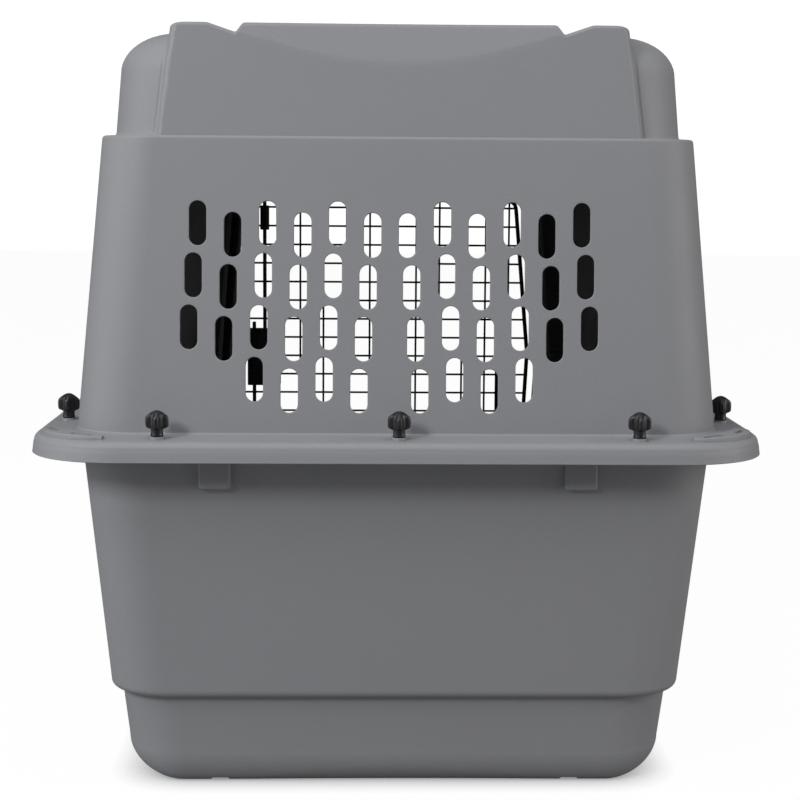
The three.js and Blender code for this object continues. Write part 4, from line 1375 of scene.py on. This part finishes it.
def make_floor():
    size = 12000
    corners = [(-size, -size, 0), (size, -size, 0), (size, size, 0), (-size, size, 0)]
    thing = mesh_object("studio_floor", corners, [(0, 1, 2, 3)])
    thing.data.materials.append(stage_surface("studio_floor_paper", (0.3, 0.3, 0.3)))


def make_world():
    """White surroundings for the camera, and a dimmer even fill on the object."""
    world = bpy.data.worlds.new("studio")
    world.use_nodes = True
    tree = world.node_tree
    tree.nodes.clear()
    out = tree.nodes.new("ShaderNodeOutputWorld")
    fill = tree.nodes.new("ShaderNodeBackground")
    fill.inputs["Color"].default_value = (0.97, 0.98, 1.0, 1)
    fill.inputs["Strength"].default_value = 0.085
    white = tree.nodes.new("ShaderNodeBackground")
    white.inputs["Color"].default_value = (1, 1, 1, 1)
    white.inputs["Strength"].default_value = 1.05
    path = tree.nodes.new("ShaderNodeLightPath")
    mix = tree.nodes.new("ShaderNodeMixShader")
    tree.links.new(path.outputs["Is Camera Ray"], mix.inputs["Fac"])
    tree.links.new(fill.outputs[0], mix.inputs[1])
    tree.links.new(white.outputs[0], mix.inputs[2])
    tree.links.new(mix.outputs[0], out.inputs["Surface"])
    bpy.context.scene.world = world


def softbox(name, place, target, wide, high, power, colour=(1, 1, 1)):
    light = bpy.data.lights.new(name, "AREA")
    light.shape = "RECTANGLE"
    light.size = wide
    light.size_y = high
    light.energy = power
    light.color = colour
    thing = bpy.data.objects.new(name, light)
    thing.location = place
    thing.rotation_euler = (Vector(target) - Vector(place)).to_track_quat("-Z", "Y").to_euler()
    bpy.context.scene.collection.objects.link(thing)


def make_camera():
    """Camera behind the carrier, a little to its left-hand side and above it, looking slightly down."""
    yaw, pitch, roll = 0.0245, 0.1213, 0.0072
    facing_rear = Matrix(((-1, 0, 0), (0, 0, 1), (0, -1, 0)))
    tilt = Matrix.Rotation(-roll, 3, "Z") @ Matrix.Rotation(-pitch, 3, "X") @ Matrix.Rotation(-yaw, 3, "Y")
    right, up, forward = tilt @ facing_rear
    turn = Matrix((right, up, -forward)).transposed()
    camera = bpy.data.cameras.new("camera")
    camera.sensor_width = 36
    camera.lens = 79.65
    camera.clip_end = 100
    thing = bpy.data.objects.new("camera", camera)
    thing.matrix_world = Matrix.Translation(Vector((35.6, 1912, FLANGE_TOP + 214.7)) * MM) @ turn.to_4x4()
    bpy.context.scene.collection.objects.link(thing)
    bpy.context.scene.camera = thing


make_floor()
make_world()
softbox("key", (2.5, 3.1, 2.4), (0, 0.3, 0.35), 1.0, 1.0, 84, (1, 1, 1))
softbox("overhead", (0.3, 1.2, 3.0), (0, 0.3, 0.2), 3.0, 2.6, 50, (0.98, 0.99, 1))
softbox("fill", (-3.0, 2.2, 1.2), (0, 0.2, 0.35), 2.0, 2.0, 12, (1, 0.95, 0.9))
softbox("left_strip", (2.6, 0.9, 1.0), (0, 0.3, 0.35), 1.0, 2.0, 20, (1, 1, 1))
softbox("right_strip", (-2.6, 0.8, 1.0), (0, 0.3, 0.35), 1.0, 2.0, 25, (1, 0.98, 0.95))
make_camera()
bpy.context.scene.view_settings.view_transform = "Standard"
